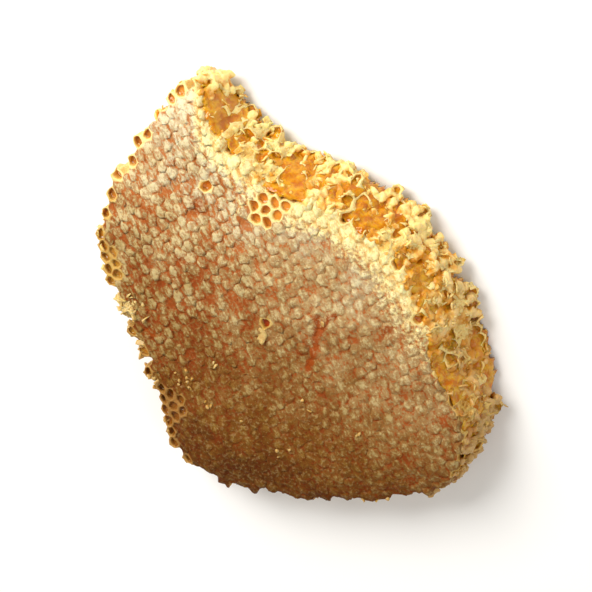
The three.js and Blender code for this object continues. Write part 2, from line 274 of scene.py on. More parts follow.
def midrib_rim(point):
    if shares_cell(front_cells, point):
        return MIDRIB_HEIGHT
    return float(np.clip(ragged_tear(point), BACK_ROLL_RISE + LEAST_WALL, MIDRIB_HEIGHT))


def is_torn(cell):
    return cell.tear < cell.face


def is_uncapped(cell):
    if cell.x < OPEN_EDGE_REACH and cell.depth < OPEN_EDGE_STRIP:
        return True
    if any(math.hypot(cell.x - x, cell.y - y) < radius for x, y, radius in OPEN_PATCHES):
        return True
    place = np.array([cell.x]), np.array([cell.y])
    least, holes = BRINK_HOLES
    return brink_share(*place)[0] > least and luck_of(cell, "hole") < holes


def front_honey(cell):
    """Height of the honey in an open front cell, or nothing if the cell is capped."""
    lowest = min(front_rim(corner) for corner in cell.ring())
    if is_torn(cell):
        return lowest - HONEY_BELOW_TORN_RIM
    if not is_uncapped(cell):
        return None
    return max(lowest - mix(*OPEN_CELL_DEPTH, cell.luck), MIDRIB_HEIGHT + LEAST_WALL / 2)


def bare_back_honey(cell):
    """Height of the honey in a back cell that the tear laid bare, or nothing if it is covered."""
    if any(corner.key in front_cells for corner in cell.ring()):
        return None
    return min(midrib_rim(corner) for corner in cell.ring()) - HONEY_BELOW_TORN_RIM


class Layer:
    """One layer of cells, with the height of the honey in each, or nothing where a cap is."""

    def __init__(self, cells, honey_height):
        self.cells = cells
        self.honey = {key: honey_height(cell) for key, cell in cells.items()}

    def owners(self, *corners):
        """The cells of this layer that have all the given points as corners."""
        shared = set.intersection(*({other.key for other in corner.ring()} for corner in corners))
        return [self.cells[key] for key in sorted(shared) if key in self.cells]

    def is_open(self, cell):
        return self.honey[cell.key] is not None

    def is_flute(self, cell):
        return not self.is_open(cell) and chance(*cell.key, SEED["flute"]) < FLUTE_SHARE

    def lone_flute(self, *corners):
        """The flute that alone has the given corners, if there is one."""
        owners = self.owners(*corners)
        return owners[0] if len(owners) == 1 and self.is_flute(owners[0]) else None

    def standing(self, corner, share):
        """Where a corner stands: a flute's own corners stand back towards the flute's middle."""
        flute = self.lone_flute(corner)
        return mix(corner.place, flute.place, share) if flute else corner.place

    def wall_places(self, a, b, share):
        """Places along the wall from corner a to corner b, bowed inwards on a flute."""
        places = mix(self.standing(a, share), self.standing(b, share), along_wall[:, None])
        flute = self.lone_flute(a, b)
        if flute:
            bow = FLUTE_BOW * share * np.sin(np.pi * along_wall)[:, None]
            places = mix(places, flute.place, bow)
        return places


# The fine surface between the lattice points. Rings are given as shares of a cell's radius.
WALL_STEPS = 3  # straight pieces along one cell wall
WALL_ROWS = 7  # and down it
# How deep a place looks sets how dark its wax is painted, as painted shade.
OPEN_RINGS = [  # of an open cell: share of the radius, share of the way down, how deep it looks
    (0.91, 0, 0.05), (0.83, 0.2, 0.3), (0.77, 0.75, 0.8), (0.72, 1, 1),
]
CREST, FLOOR_EDGE = OPEN_RINGS[0][0], OPEN_RINGS[-1][0]
CREST_DIP = 0.06 * MM
ROUNDNESS = 0.75  # of an open cell's mouth: 0 is a sharp hexagon, 1 a circle
MOUTH_SIZE, MOUTH_STRETCH = 0.88, np.array([0.02, 0.17])  # of an open cell that isn't torn
BRIM_RISE = 1.5 * MM  # of the honey in such a cell
HONEY_RINGS = [(0.86, 0.4 * MM), (0.76, 0.12 * MM), (0.5, 0.0)]  # the outermost is inside the wall
HONEY_DEPTH = 1.6 * MM  # from the honey's surface to the comb under it
HONEY_BOTTOM = 1.2  # of that depth, where the honey ends inside the wax
FLOOR_TILT = 0.45  # how far honey in a torn cell still slopes with the tear
TORN_WALL = np.array([0.74, 1])  # width of a torn cell, as a share of a whole one
CRUSHED_SHARE = 0.45  # of the torn cells, those mashed shut
CRUSHED_DEPTH = np.array([-0.7, 1.2]) * MM
CAP_RINGS = [(0.88, 0.3), (0.7, 0.8), (0.4, 1)]  # share of the radius, share of the rise
BACK_CAP_RINGS = [(0.75, 0.8)]
CAP_RISE = np.array([0.3, 1.0]) * MM
CAP_SIZE = np.array([0.76, 1.12])
ROUND_REACH = 0.8  # a cap's rings are rounded inside this share of the radius
CAP_GRAIN = np.radians([-62, 50, 25])  # the way domes are drawn out, its swing and its luck
CAP_GRAIN_LENGTH = 27 * MM
CAP_STRETCH = np.array([0.05, 0.38])  # how much longer a dome is along the grain
CAP_STRAY = 0.55 * MM  # of a dome from the middle of its cell
SUNKEN_CAPS = (0.09, -0.5)  # share of caps that sank in, and how far for their rise
DISH_RIM = 0.3  # how high the rim of a sunken cap looks, as a share of a dome
FURROW_DEPTH = np.array([-0.6, 0.45]) * MM  # between two caps; negative where they grew together
CRUSHED_RISE = 2.2 * MM
CRUSHED_RIM_REACH = 9 * MM
# The looks of depth below darken the bare wax's colour as painted shade.
CRUSHED_DEEP = (0.6, 0.1, 0.3)  # how deep a mashed cell looks: inwards, at its rim, in the middle
CREST_RISE = 0.35 * MM  # of the thick rim round an open cell
HALF_CAPPED = 0.35  # how much such a rim looks capped where it has a cap beside it
SHALLOW_FURROW = 0.75  # how high the shallowest furrow looks, as a share of a dome
FLAT_BACK = 0.1  # how high the furrows of the pressed back look
LEDGE_DEEP = (0.15, 0.3)  # how deep the bare midrib looks, at its edges and between them
BACK_CAP_RISE = 0.8 * MM
FLAT_FURROW = 0.35 * MM  # height of the furrows between back caps that are pressed flat
FLUTE_PULL = ([0, 0.12, 0.5, 0.88, 1], [0.3, 0.62, 0.8, 0.7, 0])  # share down a wall, share inwards
FLUTE_BOW = 0.3
WALL_DEEP = (0.1, 0.2, 0.55)  # how deep a broken wall looks: least, more inwards, and in a flute
WALL_SHADES = (0.4, 1, 1, 0.4)  # share of that, along one wall
WOBBLES = [(1.9 * MM, 0.36 * MM), (4.5 * MM, 0.5 * MM)]  # length and reach of sideways straying
TORN_WOBBLE = (2.7 * MM, 0.75 * MM)
WRINKLES = [(1.1 * MM, 0.1 * MM), (2.4 * MM, 0.16 * MM), (7 * MM, 0.3 * MM)]  # length and height
TORN_WRINKLES = [(1.5 * MM, 0.5 * MM), (3.4 * MM, 1.1 * MM)]
SIDE_WRINKLES = [(1.7 * MM, 0.2 * MM), (4.3 * MM, 0.35 * MM)]
TORN_SLOPE = np.array([4, 8]) * MM  # plan width of slope that counts as torn, not as broken
TORN_BORDER = np.array([-2.5, 0.5]) * MM
CALM_HEIGHT = 8 * MM  # torn relief fades out below this
BRINK_REACH, BRINK_SWELL = 17 * MM, 4.5 * MM  # how far the tear shows on the face, in plan
BRINK_FOOT = np.array([-36, 20]) * MM  # the brink fades out below this
BRINK_HOLES = (0.6, 0.12)  # from this share up, and the share of its cells that lost their caps
BACK_BRINK = 0.5  # how much of it shows on the back
STAIN_WIDTH = 1.6 * MM
STAIN_STRAY = (3 * MM, 1.12 * MM)  # length and reach
STAIN_STRENGTH = (4 * MM, 1.2, 0.4)  # length, mean and unevenness
SPOT_STRENGTH = 0.6
STAIN_PATHS = [np.array(path) * MM for path in (
    [[10, -5], [11.4, -11.5], [10, -17], [7.3, -30]], [[17.5, -4.5], [11.5, -12.5]],
)]
STAINS = np.array([[-42, 38, 5], [-50, 14, 4], [-66, -22, 4], [40, -8, 4]]) * MM  # x, y, radius
UPHILL = np.array([0.45, 1])  # weights of x and y in how far up the face a place lies
LEFTWARDS = np.array([-1, 0.5])  # and in how far towards its upper left
PLUMP_REACH = np.array([-30, 60]) * MM  # leftwards, over which caps grow from small to plump
PLUMP_SIZE = np.array([0.74, 1.08])
FOOT_REACH = np.array([-80, 35]) * MM  # uphill, over which caps gain their full rise
FOOT_RISE = 0.35  # share of it at the foot
# The crinkles' paler crests are a painted highlight.
CRINKLE = (2.2 * MM, 2.6, 0.4 * MM, 0.45)  # of caps: width, length over width, rise, paler crests
CRINKLE_CALM = 0.35  # of it that is left at the lower right
FINE_SEED = {
    "brink": 6, "stain": 7, "crinkle": 8, "crushed": 21, "rise": 22, "shift": 23, "furrow": 24,
    "sunken": 25, "tone": 26, "grain": 30, "size": 31, "stretch": 32, "hole": 33, "wobble": 40,
    "wrinkle": 60, "torn": 80, "side": 110,
}
TRAITS = ["cap", "dome", "tone", "deep", "torn", "brink", "stain"]
along_wall = np.linspace(0, 1, WALL_STEPS + 1)


def torn_share(x, y):
    """From 0, where the slab is whole or broke along its walls, to 1, where it tore."""
    share = smooth((front_height(x, y) - tear_height(x, y) - TORN_BORDER[0]) / np.ptp(TORN_BORDER))
    return share * smooth((edge_at(x, y)[1] - TORN_SLOPE[0]) / np.ptp(TORN_SLOPE))


def brink_share(x, y):
    """From 0, far from the tear, to 1 beside it, where the caps are pale and disturbed."""
    slope = edge_at(x, y)[1]
    gap = (tear_height(x, y) - front_height(x, y)) * slope / (CROWN_HEIGHT - TEAR_TOE_HEIGHT)
    gap = gap + BRINK_SWELL * swell(x, y, TEAR_SWELL_LENGTH, FINE_SEED["brink"])
    share = smooth(1 - gap / BRINK_REACH) * smooth((y - BRINK_FOOT[0]) / np.ptp(BRINK_FOOT))
    return share * smooth((slope - TORN_SLOPE[0]) / np.ptp(TORN_SLOPE))


def plump_share(x, y):
    """From 0 at the lower right, where caps are small and flat, to 1 at the upper left."""
    leftwards = LEFTWARDS[0] * x + LEFTWARDS[1] * y
    return smooth((leftwards - PLUMP_REACH[0]) / np.ptp(PLUMP_REACH))


def stain_share(x, y):
    """From 0 to 1 in the red crack and round the small red spots where caps sank in."""
    strayed = x + STAIN_STRAY[1] * swell(x, y, STAIN_STRAY[0], FINE_SEED["stain"] + 1)
    gap = np.minimum.reduce([gap_to_path(strayed, y, path) for path in STAIN_PATHS])
    length, mean, uneven = STAIN_STRENGTH
    strength = mean + uneven * swell(x, y, length, FINE_SEED["stain"])
    stain = strength * np.exp(-((gap / STAIN_WIDTH) ** 2))
    for sx, sy, radius in STAINS:
        spot = SPOT_STRENGTH * np.exp(-(((x - sx) ** 2 + (y - sy) ** 2) / radius**2))
        stain = np.maximum(stain, spot)
    return stain


def luck_of(cell, name):
    """The cell's own number from 0 to 1 for one of the things that chance settles."""
    return chance(*cell.key, FINE_SEED[name])


front = Layer(front_cells, front_honey)
back = Layer(back_cells, bare_back_honey)


class Skin:
    """A closed surface under construction, with the traits that its material reads:
    cap (1 on caps, 0 on bare wax), dome (height on a cap), tone (luck of a cell) and deep (in a
    cell). The finished mesh also has torn, brink and stain, which depend on place alone.
    """

    def __init__(self):
        self.places, self.traits, self.faces, self.shared = [], [], [], {}

    def add(self, xy, z, traits, key=None):
        if key is not None and key in self.shared:
            return self.shared[key]
        self.places.append((xy[0], xy[1], z))
        self.traits.append(traits)
        if key is not None:
            self.shared[key] = len(self.places) - 1
        return len(self.places) - 1

    def ring(self, places, heights, traits, outer=None, down=False):
        """A ring of vertices, joined by quads to the loop outside it, if there is one. Both run
        anticlockwise seen from above."""
        inner = [self.add(xy, z, traits) for xy, z in zip(places, heights)]
        if outer:
            for a, b, c, d in zip(outer, outer[1:] + outer[:1], inner[1:] + inner[:1], inner):
                self.faces.append((d, c, b, a) if down else (a, b, c, d))
        return inner

    def fan(self, loop, xy, z, traits, down=False):
        """Triangles that close a loop round a vertex in its middle."""
        hub = self.add(xy, z, traits)
        for i, j in zip(loop, loop[1:] + loop[:1]):
            self.faces.append((j, i, hub) if down else (i, j, hub))

    def sheet(self, rows):
        """Quads between rows of vertices; each row runs to the right, seen from outside, and the
        next lies under it."""
        for upper, lower in zip(rows, rows[1:]):
            for i in range(len(upper) - 1):
                self.faces.append((upper[i], lower[i], lower[i + 1], upper[i + 1]))

    def mesh(self, name):
        places, traits = np.array(self.places), np.array(self.traits, dtype=np.float32)
        x, y, z = places.T.copy()
        torn = torn_share(x, y)
        for axis in (0, 1):
            for number, (length, reach) in enumerate([*WOBBLES, TORN_WOBBLE]):
                share = torn if number == len(WOBBLES) else 1
                wobble = swell(x, y, length, FINE_SEED["wobble"] + 2 * number + axis)
                places[:, axis] += share * reach * wobble
        for axis in (0, 1):
            for number, (length, reach) in enumerate(SIDE_WRINKLES):
                seed = FINE_SEED["side"] + 2 * number + axis
                places[:, axis] += reach * swell(places[:, 1 - axis] + 2 * x, z, length, seed)
        calm = smooth(z / CALM_HEIGHT)
        for number, (length, height) in enumerate(WRINKLES):
            places[:, 2] += calm * height * swell(x + z, y, length, FINE_SEED["wrinkle"] + number)
        for number, (length, height) in enumerate(TORN_WRINKLES):
            places[:, 2] += torn * calm * height * swell(x, y, length, FINE_SEED["torn"] + number)
        width, stretch, rise, crest_highlight = CRINKLE
        along = (x * math.cos(CAP_GRAIN[0]) + y * math.sin(CAP_GRAIN[0])) / stretch
        across = y * math.cos(CAP_GRAIN[0]) - x * math.sin(CAP_GRAIN[0])
        crinkle = swell(along, across, width, FINE_SEED["crinkle"])
        crinkle = crinkle * mix(CRINKLE_CALM, 1, plump_share(x, y))
        crinkle = crinkle * traits[:, 0] * (z > MIDRIB_HEIGHT)
        places[:, 2] += rise * crinkle
        # Painted highlight: crinkle crests count as higher on the dome, so the material paints them
        # paler.
        traits[:, 1] += crest_highlight * crinkle
        stain = stain_share(x, y) * (z > MIDRIB_HEIGHT)
        brink = brink_share(x, y) * mix(BACK_BRINK, 1, z > MIDRIB_HEIGHT)
        traits = np.column_stack([traits, torn, brink, stain])
        places[:, :2] -= FOOTPRINT_MIDDLE
        mesh = bpy.data.meshes.new(name)
        mesh.from_pydata(places.tolist(), [], self.faces)
        for column, trait in enumerate(TRAITS):
            attribute = mesh.attributes.new(trait, "FLOAT", "POINT")
            attribute.data.foreach_set("value", traits[:, column].astype(np.float32))
        mesh.shade_smooth()
        mesh.update()
        return mesh


comb_skin, honey_skin = Skin(), Skin()


def edge_numbers(level, a, b, places, heights, traits):
    """Vertices from corner a to corner b of a wall, shared with whatever else meets there."""
    forward = a.key < b.key
    low, high = (a, b) if forward else (b, a)
    numbers = []
    for step in range(WALL_STEPS + 1):
        key = (level, low.key, high.key, step if forward else WALL_STEPS - step)
        if step in (0, WALL_STEPS):
            key = (level, (a if step == 0 else b).key)
        numbers.append(comb_skin.add(places[step], heights[step], traits[step], key))
    return numbers


def front_edge(a, b):
    """The rim of the wall between corners a and b of a front cell."""
    sides = front.owners(a, b)
    heights, traits = [], []
    for step in range(WALL_STEPS + 1):
        around = {0: front.owners(a), WALL_STEPS: front.owners(b)}.get(step, sides)
        opened = sum(front.is_open(cell) for cell in around)
        luck = chance(a.key[0] + b.key[0], a.key[1] + b.key[1], FINE_SEED["furrow"])
        if step in (0, WALL_STEPS):
            luck = 0.5 + 0.5 * chance(*(b if step else a).key, FINE_SEED["furrow"])
        base = mix(front_rim(a), front_rim(b), along_wall[step])
        if opened:
            heights.append(base + CREST_RISE)
            traits.append((HALF_CAPPED * (opened < len(around)), 1, 0.5, 0))
        else:
            heights.append(base - mix(*FURROW_DEPTH, luck))
            traits.append((1, SHALLOW_FURROW * (1 - luck) ** 2, 0.5, 0))
    places = front.wall_places(a, b, FLUTE_PULL[1][0])
    return edge_numbers("front", a, b, places, heights, traits)


def midrib_edge(a, b):
    heights = mix(midrib_rim(a), midrib_rim(b), along_wall)
    places = mix(a.place, b.place, along_wall[:, None])
    traits = [(0, 1, 0.5, LEDGE_DEEP[0])] * len(heights)
    return edge_numbers("midrib", a, b, places, heights, traits)


def back_edge(a, b):
    heights = mix(a.back, b.back, along_wall) + FLAT_FURROW
    places = back.wall_places(a, b, FLUTE_PULL[1][0])
    traits = [(1, FLAT_BACK, 0.5, 0)] * len(heights)
    return edge_numbers("back", a, b, places, heights, traits)


def loop_round(cell, edge):
    ring = cell.ring()
    return [number for k in range(6) for number in edge(ring[k], ring[(k + 1) % 6])[:-1]]


def inner_places(centre, loop, share, roundness=0.0):
    """A ring inside a loop of vertices, at a share of the way out, and rounder if asked."""
    offsets = np.array([comb_skin.places[number][:2] for number in loop]) - centre
    lengths = np.linalg.norm(offsets, axis=1)[:, None]
    rounded = offsets / lengths * lengths.mean()
    return centre + share * mix(offsets, rounded, roundness)


def loop_rims(cell, rim):
    """Heights of the unworked rim round a cell, one for each vertex of its loop."""
    corners = np.array([rim(corner) for corner in cell.ring()])
    return mix(corners[:, None], np.roll(corners, -1)[:, None], along_wall[None, :-1]).ravel()


def draw_out(cell, offsets, stretch):
    """Offsets from a cell's middle, drawn out along the grain of the face."""
    swing = swell(cell.x, cell.y, CAP_GRAIN_LENGTH, FINE_SEED["grain"])
    angle = CAP_GRAIN @ [1, swing, 2 * luck_of(cell, "grain") - 1]
    grain = np.array([math.cos(angle), math.sin(angle)])
    stretch = mix(*stretch, luck_of(cell, "stretch"))
    return (1 - stretch) * offsets + 2 * stretch * (offsets @ grain)[..., None] * grain


def dome_places(cell, places):
    """A ring of a cap's dome, drawn out, sized and shifted by the luck of the cell."""
    stray = 2 * np.array([chance(*cell.key, FINE_SEED["shift"] + n / 2) for n in (0, 1)]) - 1
    size = mix(*CAP_SIZE, luck_of(cell, "size"))
    size = size * mix(*PLUMP_SIZE, plump_share(cell.x, cell.y))
    return cell.place + size * draw_out(cell, places - cell.place, CAP_STRETCH) + CAP_STRAY * stray


def mouth_places(cell, loop, share, narrow):
    """A ring in the mouth of an open cell, drawn out where the slab isn't torn."""
    if is_torn(cell):
        return inner_places(cell.place, loop, share * (narrow if share < CREST else 1), ROUNDNESS)
    offsets = inner_places(cell.place, loop, share * MOUTH_SIZE, ROUNDNESS) - cell.place
    return cell.place + draw_out(cell, offsets, MOUTH_STRETCH)


def cap_cell(cell, loop, rims, middle, rise, tone, down=False):
    """Closes a cell with a domed cap, or with a dished one where the rise is negative."""
    way = -1 if down else 1
    outer = loop
    for share, risen in BACK_CAP_RINGS if down else CAP_RINGS:
        places = inner_places(cell.place, loop, share, ROUNDNESS if share < ROUND_REACH else 0)
        if share < ROUND_REACH and not down:
            places = dome_places(cell, places)
        heights = mix(middle, rims, share) + way * rise * risen
        heights = np.maximum(heights, 0) if down else heights
        dome = risen if rise > 0 else DISH_RIM * (1 - risen)
        outer = comb_skin.ring(places, heights, (1, dome, tone, 0), outer, down)
    top = middle + way * rise
    crown = cell.place if down else dome_places(cell, cell.place)
    traits = (1, 1 if rise > 0 else 0, tone, 0)
    comb_skin.fan(outer, crown, max(top, 0) if down else top, traits, down)


def open_cell(cell, loop, rims, level, tone):
    """An uncapped cell: a thick rim, a wall going down, and honey standing over its floor."""
    narrow = mix(*TORN_WALL, luck_of(cell, "size"))
    tilt = FLOOR_TILT * (rims - rims.mean())
    level = level + FLOOR_TILT * (rims.mean() - rims.min()) + (0 if is_torn(cell) else BRIM_RISE)
    crest = np.array([comb_skin.places[number][2] for number in loop])
    floor = level + FLOOR_EDGE * tilt - HONEY_DEPTH
    outer = loop
    for share, down, deep in OPEN_RINGS:
        heights = mix(crest, floor, down) - (CREST_DIP if share == CREST else 0)
        places = mouth_places(cell, loop, share, narrow)
        outer = comb_skin.ring(places, heights, (0, 1, tone, deep), outer)
    comb_skin.fan(outer, cell.place, level - HONEY_DEPTH, (0, 1, tone, 1))
    fill_cell(cell, loop, narrow, level, tilt, tone)


def fill_cell(cell, loop, narrow, level, tilt, tone):
    """Honey in an open cell: a surface that creeps up the walls, closed by a bottom in the wax."""
    rings = [None]
    for share, creep in HONEY_RINGS:
        places, heights = mouth_places(cell, loop, share, narrow), level + share * tilt + creep
        rings.append(honey_skin.ring(places, heights, (0, 1, tone, 0), rings[-1]))
    honey_skin.fan(rings[-1], cell.place, level, (0, 1, tone, 0))
    share = HONEY_RINGS[0][0]
    places = mouth_places(cell, loop, share, narrow)
    sunk = level - HONEY_BOTTOM * HONEY_DEPTH
    bottom = honey_skin.ring(places, sunk + share * tilt, (0, 1, tone, 1))
    honey_skin.sheet([rings[1] + rings[1][:1], bottom + bottom[:1]])
    honey_skin.fan(bottom, cell.place, sunk, (0, 1, tone, 1), True)


def crush_cell(cell, loop, rims, tone):
    """A torn cell mashed shut: a lump of bare wax."""
    outer, middle = loop, rims.mean()
    for share, _ in CAP_RINGS:
        places = inner_places(cell.place, loop, share, ROUNDNESS * (1 - share))
        lucks = chance(np.arange(len(loop)), cell.key[0] + share, cell.key[1] + FINE_SEED["crushed"])
        heights = mix(middle, rims, share) + mix(*CRUSHED_DEPTH, lucks)
        outer = comb_skin.ring(places, heights, (0, 1, tone, mix(*CRUSHED_DEEP[:2], share)), outer)
    comb_skin.fan(outer, cell.place, middle, (0, 1, tone, CRUSHED_DEEP[2]))


for cell in front.cells.values():
    loop, rims, tone = loop_round(cell, front_edge), loop_rims(cell, front_rim), luck_of(cell, "tone")
    if not front.is_open(cell):
        gained = smooth((cell.place @ UPHILL - FOOT_REACH[0]) / np.ptp(FOOT_REACH))
        rise = mix(FOOT_RISE, 1, gained) * mix(*CAP_RISE, luck_of(cell, "rise"))
        if luck_of(cell, "sunken") < SUNKEN_CAPS[0]:
            rise = SUNKEN_CAPS[1] * rise
        near_tear = max(0, 1 - (cell.tear - cell.face) / CRUSHED_RIM_REACH)
        cap_cell(cell, loop, rims, cell.face, rise + CRUSHED_RISE * cell.luck * near_tear, tone)
    elif is_torn(cell) and luck_of(cell, "crushed") < CRUSHED_SHARE:
        crush_cell(cell, loop, rims, tone)
    else:
        open_cell(cell, loop, rims, front.honey[cell.key], tone)


def ledge(a, b, c):
    """The midrib where it shows between three lattice points, as a small triangular grid."""
    sides = midrib_edge(a, b), midrib_edge(a, c), midrib_edge(b, c)
    rows = [[sides[0][0]]]
    for step in range(1, WALL_STEPS):
        left, right = sides[0][step], sides[1][step]
        ends = np.array([comb_skin.places[left], comb_skin.places[right]])
        inner = [mix(*ends, share) for share in np.arange(1, step) / step]
        inner = [comb_skin.add(place[:2], place[2], (0, 1, 0.5, LEDGE_DEEP[1])) for place in inner]
        rows.append([left, *inner, right])
    rows.append(sides[2])
    for upper, lower in zip(rows, rows[1:]):
        for i in range(len(upper)):
            comb_skin.faces.append((upper[i], lower[i], lower[i + 1]))
            if i:
                comb_skin.faces.append((upper[i - 1], lower[i], upper[i]))


def add_ledges(cell, beyond, down):
    """The ledges round a cell, wherever no cell of the layer beyond the midrib covers it."""
    ring = cell.ring()
    for corner, after in zip(ring, ring[1:] + ring[:1]):
        if corner.key not in beyond.cells and after.key not in beyond.cells:
            ledge(cell, *((after, corner) if down else (corner, after)))


for cell in front.cells.values():
    add_ledges(cell, back, True)

for cell in back.cells.values():
    if back.is_open(cell):
        loop, rims = loop_round(cell, midrib_edge), loop_rims(cell, midrib_rim)
        open_cell(cell, loop, rims, back.honey[cell.key], luck_of(cell, "tone"))
    else:
        add_ledges(cell, front, False)

for cell in back.cells.values():
    loop, rims = loop_round(cell, back_edge), loop_rims(cell, lambda corner: corner.back)
    cap_cell(cell, loop, rims, cell.back, BACK_CAP_RISE, luck_of(cell, "tone"), True)


def add_walls(layer, name, upper_edge, lower_edge):
    """The outer walls of a layer: those that no other cell of the layer shares."""
    for cell in layer.cells.values():
        ring = cell.ring()
        for k in range(6):
            if cell.across(k) in layer.cells:
                continue
            a, b = ring[k], ring[(k + 1) % 6]
            upper, lower = upper_edge(a, b), lower_edge(a, b)
            heights = np.array([[comb_skin.places[n][2] for n in row] for row in (upper, lower)])
            rows = [upper]
            for down in np.arange(1, WALL_ROWS) / WALL_ROWS:
                pull = np.interp(down if layer is front else 1 - down, *FLUTE_PULL)
                places = layer.wall_places(a, b, pull)
                level = (name, round(down * WALL_ROWS))
                hollow = WALL_DEEP[2 if layer.is_flute(cell) else 1] * pull
                traits = [(0, 0.5, 0.5, WALL_DEEP[0] + hollow * share) for share in WALL_SHADES]
                rows.append(edge_numbers(level, a, b, places, mix(*heights, down), traits))
            rows.append(lower)
            comb_skin.sheet(rows)


add_walls(front, "front wall", front_edge, midrib_edge)
add_walls(back, "back wall", midrib_edge, back_edge)


def add_object(name, data):
    thing = bpy.data.objects.new(name, data)
    bpy.context.scene.collection.objects.link(thing)
    return thing


def linear(code):
    """Scene-linear colour of an sRGB hex code."""
    shares = [int(code[i : i + 2], 16) / 255 for i in (1, 3, 5)]
    return (*[c / 12.92 if c <= 0.04045 else ((c + 0.055) / 1.055) ** 2.4 for c in shares], 1)


def add_node(tree, kind, inputs=None, **settings):
    """Adds a node. Each input is given a value, a hex code, or what feeds it: an output, or a node,
    which stands for the first of its outputs in use."""
    node = tree.nodes.new(kind)
    for name, value in settings.items():
        setattr(node, name, value)
    for name, value in (inputs or {}).items():
        if isinstance(value, bpy.types.Node):
            value = next(socket for socket in value.outputs if socket.enabled)
        if isinstance(value, bpy.types.NodeSocket):
            tree.links.new(value, node.inputs[name])
        else:
            is_code = isinstance(value, str) and value.startswith("#")
            node.inputs[name].default_value = linear(value) if is_code else value
    return node


def start_material(name):
    material = bpy.data.materials.new(name)
    material.use_nodes = True
    material.node_tree.nodes.clear()
    return material, material.node_tree


def end_material(tree, inputs):
    shader = add_node(tree, "ShaderNodeBsdfPrincipled", inputs)
    add_node(tree, "ShaderNodeOutputMaterial", {0: shader})


def adjust(tree, value, by, limits, into, operation="ADD", interpolation="SMOOTHSTEP"):
    """A value with another one added, or multiplied, that is first brought into a range."""
    brought = add_node(tree, "ShaderNodeMapRange", {
        0: by, 1: limits[0], 2: limits[1], 3: into[0], 4: into[1],
    }, interpolation_type=interpolation)
    return add_node(tree, "ShaderNodeMath", {0: value, 1: brought}, operation=operation)


def cover(tree, under, over, value, low=0, high=1, most=1):
    """A colour that gives way to a second one as a value rises from low to high."""
    share = add_node(tree, "ShaderNodeMapRange", {
        0: value, 1: low, 2: high, 4: most,
    }, interpolation_type="SMOOTHSTEP")
    return add_node(tree, "ShaderNodeMix", {0: share, 6: under, 7: over}, data_type="RGBA")


def speckle(tree, place, size, detail=2.0):
    """Noise from about 0 to 1 whose grains measure about the given size."""
    noise = add_node(tree, "ShaderNodeTexNoise", {
        "Vector": place, "Scale": 1 / size, "Detail": detail, "Roughness": 0.6,
    })
    return add_node(tree, "ShaderNodeMapRange", {
        0: noise, 1: 0.3, 2: 0.7,
    }, interpolation_type="SMOOTHSTEP")


def ramp(tree, value, stops):
    """A colour for a value, from a hex code for each of a few values."""
    low, *_, high = stops
    share = add_node(tree, "ShaderNodeMapRange", {0: value, 1: low, 2: high})
    node = add_node(tree, "ShaderNodeValToRGB", {0: share})
    colours = node.color_ramp.elements
    while len(colours) < len(stops):
        colours.new(0.5)
    for element, (at, code) in zip(colours, stops.items()):
        element.position, element.color = (at - low) / (high - low), linear(code)
    return node


# Beeswax: pinkish tan in the furrows and cream on the domes, paler towards the tip and the tear,
# darker and browner towards the foot of the slab, partly its own colour and partly painted shade;
# bare wax is pale yellow on its crests and amber inside the cells. The furrows also carry painted
# shade and the domes painted highlight, and the wax darkens with depth in cells as painted shade.
WAX_COLOURS_AND_SHADE = {  # each by millimetres up the slab
    "furrow": {
        -95: "#5c2606", -64: "#783509", -25: "#904112", 18: "#b2622c", 48: "#ba7a48", 80: "#d4a674",
    },
    "side": {
        -95: "#5f3409", -64: "#744511", -25: "#8c612e", 18: "#b08d5c", 48: "#bca37c", 80: "#d9c294",
    },
    "top": {
        -95: "#704a18", -64: "#866024", -25: "#a98f5a", 18: "#cfba88", 48: "#d9caa2", 80: "#e8dcb6",
    },
    "streak": {-64: "#70350c", -25: "#843f12", 30: "#b3682c"},
    "pale furrow": {-15: "#b98a58", 35: "#dba85c"},
    "pale side": {-15: "#d0b280", 35: "#e8cb84"},
    "pale top": {-15: "#e2cf98", 35: "#f5e7a8"},
    "crest": {-75: "#9c7038", -10: "#cfa95a", 30: "#f3dc94"},
    "wall": {-75: "#8f5c22", -10: "#c08f40", 30: "#e6b45a"},
    "rib": {-75: "#c79f58", -10: "#d8b468", 30: "#f3dc94"},
    "flute": {-75: "#a8702a", -10: "#bd863a", 30: "#e6b45a"},
    "floor": {-70: "#a05a20", -25: "#c98e36", 30: "#e0963a"},
}
TORN_FLOOR, STAIN_COLOUR = "#e39a34", "#96410a"
GRAIN_SIZES = np.array([0.7, 1.5, 14]) * MM  # of fine, grainy and broad speckle
STROKE_SIZE, STROKE_STRETCH = 1.3 * MM, 3.0  # of the streaks along the grain
CONTRAST_CENTRE = 0.9  # the height that stays as it is where caps are small and flat
SIDE_HEIGHTS = np.array([20, 28]) * MM  # from here down, wax is that of the broken sides

beeswax, tree = start_material("beeswax")
place = add_node(tree, "ShaderNodeTexCoord").outputs["Object"]
cap, dome, tone, deep, torn, brink, stain = (
    add_node(tree, "ShaderNodeAttribute", attribute_name=trait).outputs["Fac"] for trait in TRAITS
)
fine, grainy, broad = (speckle(tree, place, size) for size in GRAIN_SIZES)
drawn = add_node(tree, "ShaderNodeMapping", {
    "Vector": place, "Rotation": (0, 0, CAP_GRAIN[0]), "Scale": (STROKE_STRETCH, 1, 1),
}, vector_type="TEXTURE")
strokes = speckle(tree, drawn, STROKE_SIZE)
# How far up the slab a place lies, with broad speckle; along it the wax colours darken towards the
# foot, partly as painted shade.
uphill, leftwards = (
    add_node(tree, "ShaderNodeVectorMath", {0: place, 1: (*way / MM, 0)}, operation="DOT_PRODUCT")
    for way in (UPHILL, LEFTWARDS)
)
uphill = adjust(tree, uphill, broad, (0, 1), (-13, 13))
leftwards = add_node(tree, "ShaderNodeMapRange", {
    0: leftwards, 1: -10, 2: 60,
}, interpolation_type="SMOOTHSTEP")
colours = {name: ramp(tree, uphill, stops) for name, stops in WAX_COLOURS_AND_SHADE.items()}
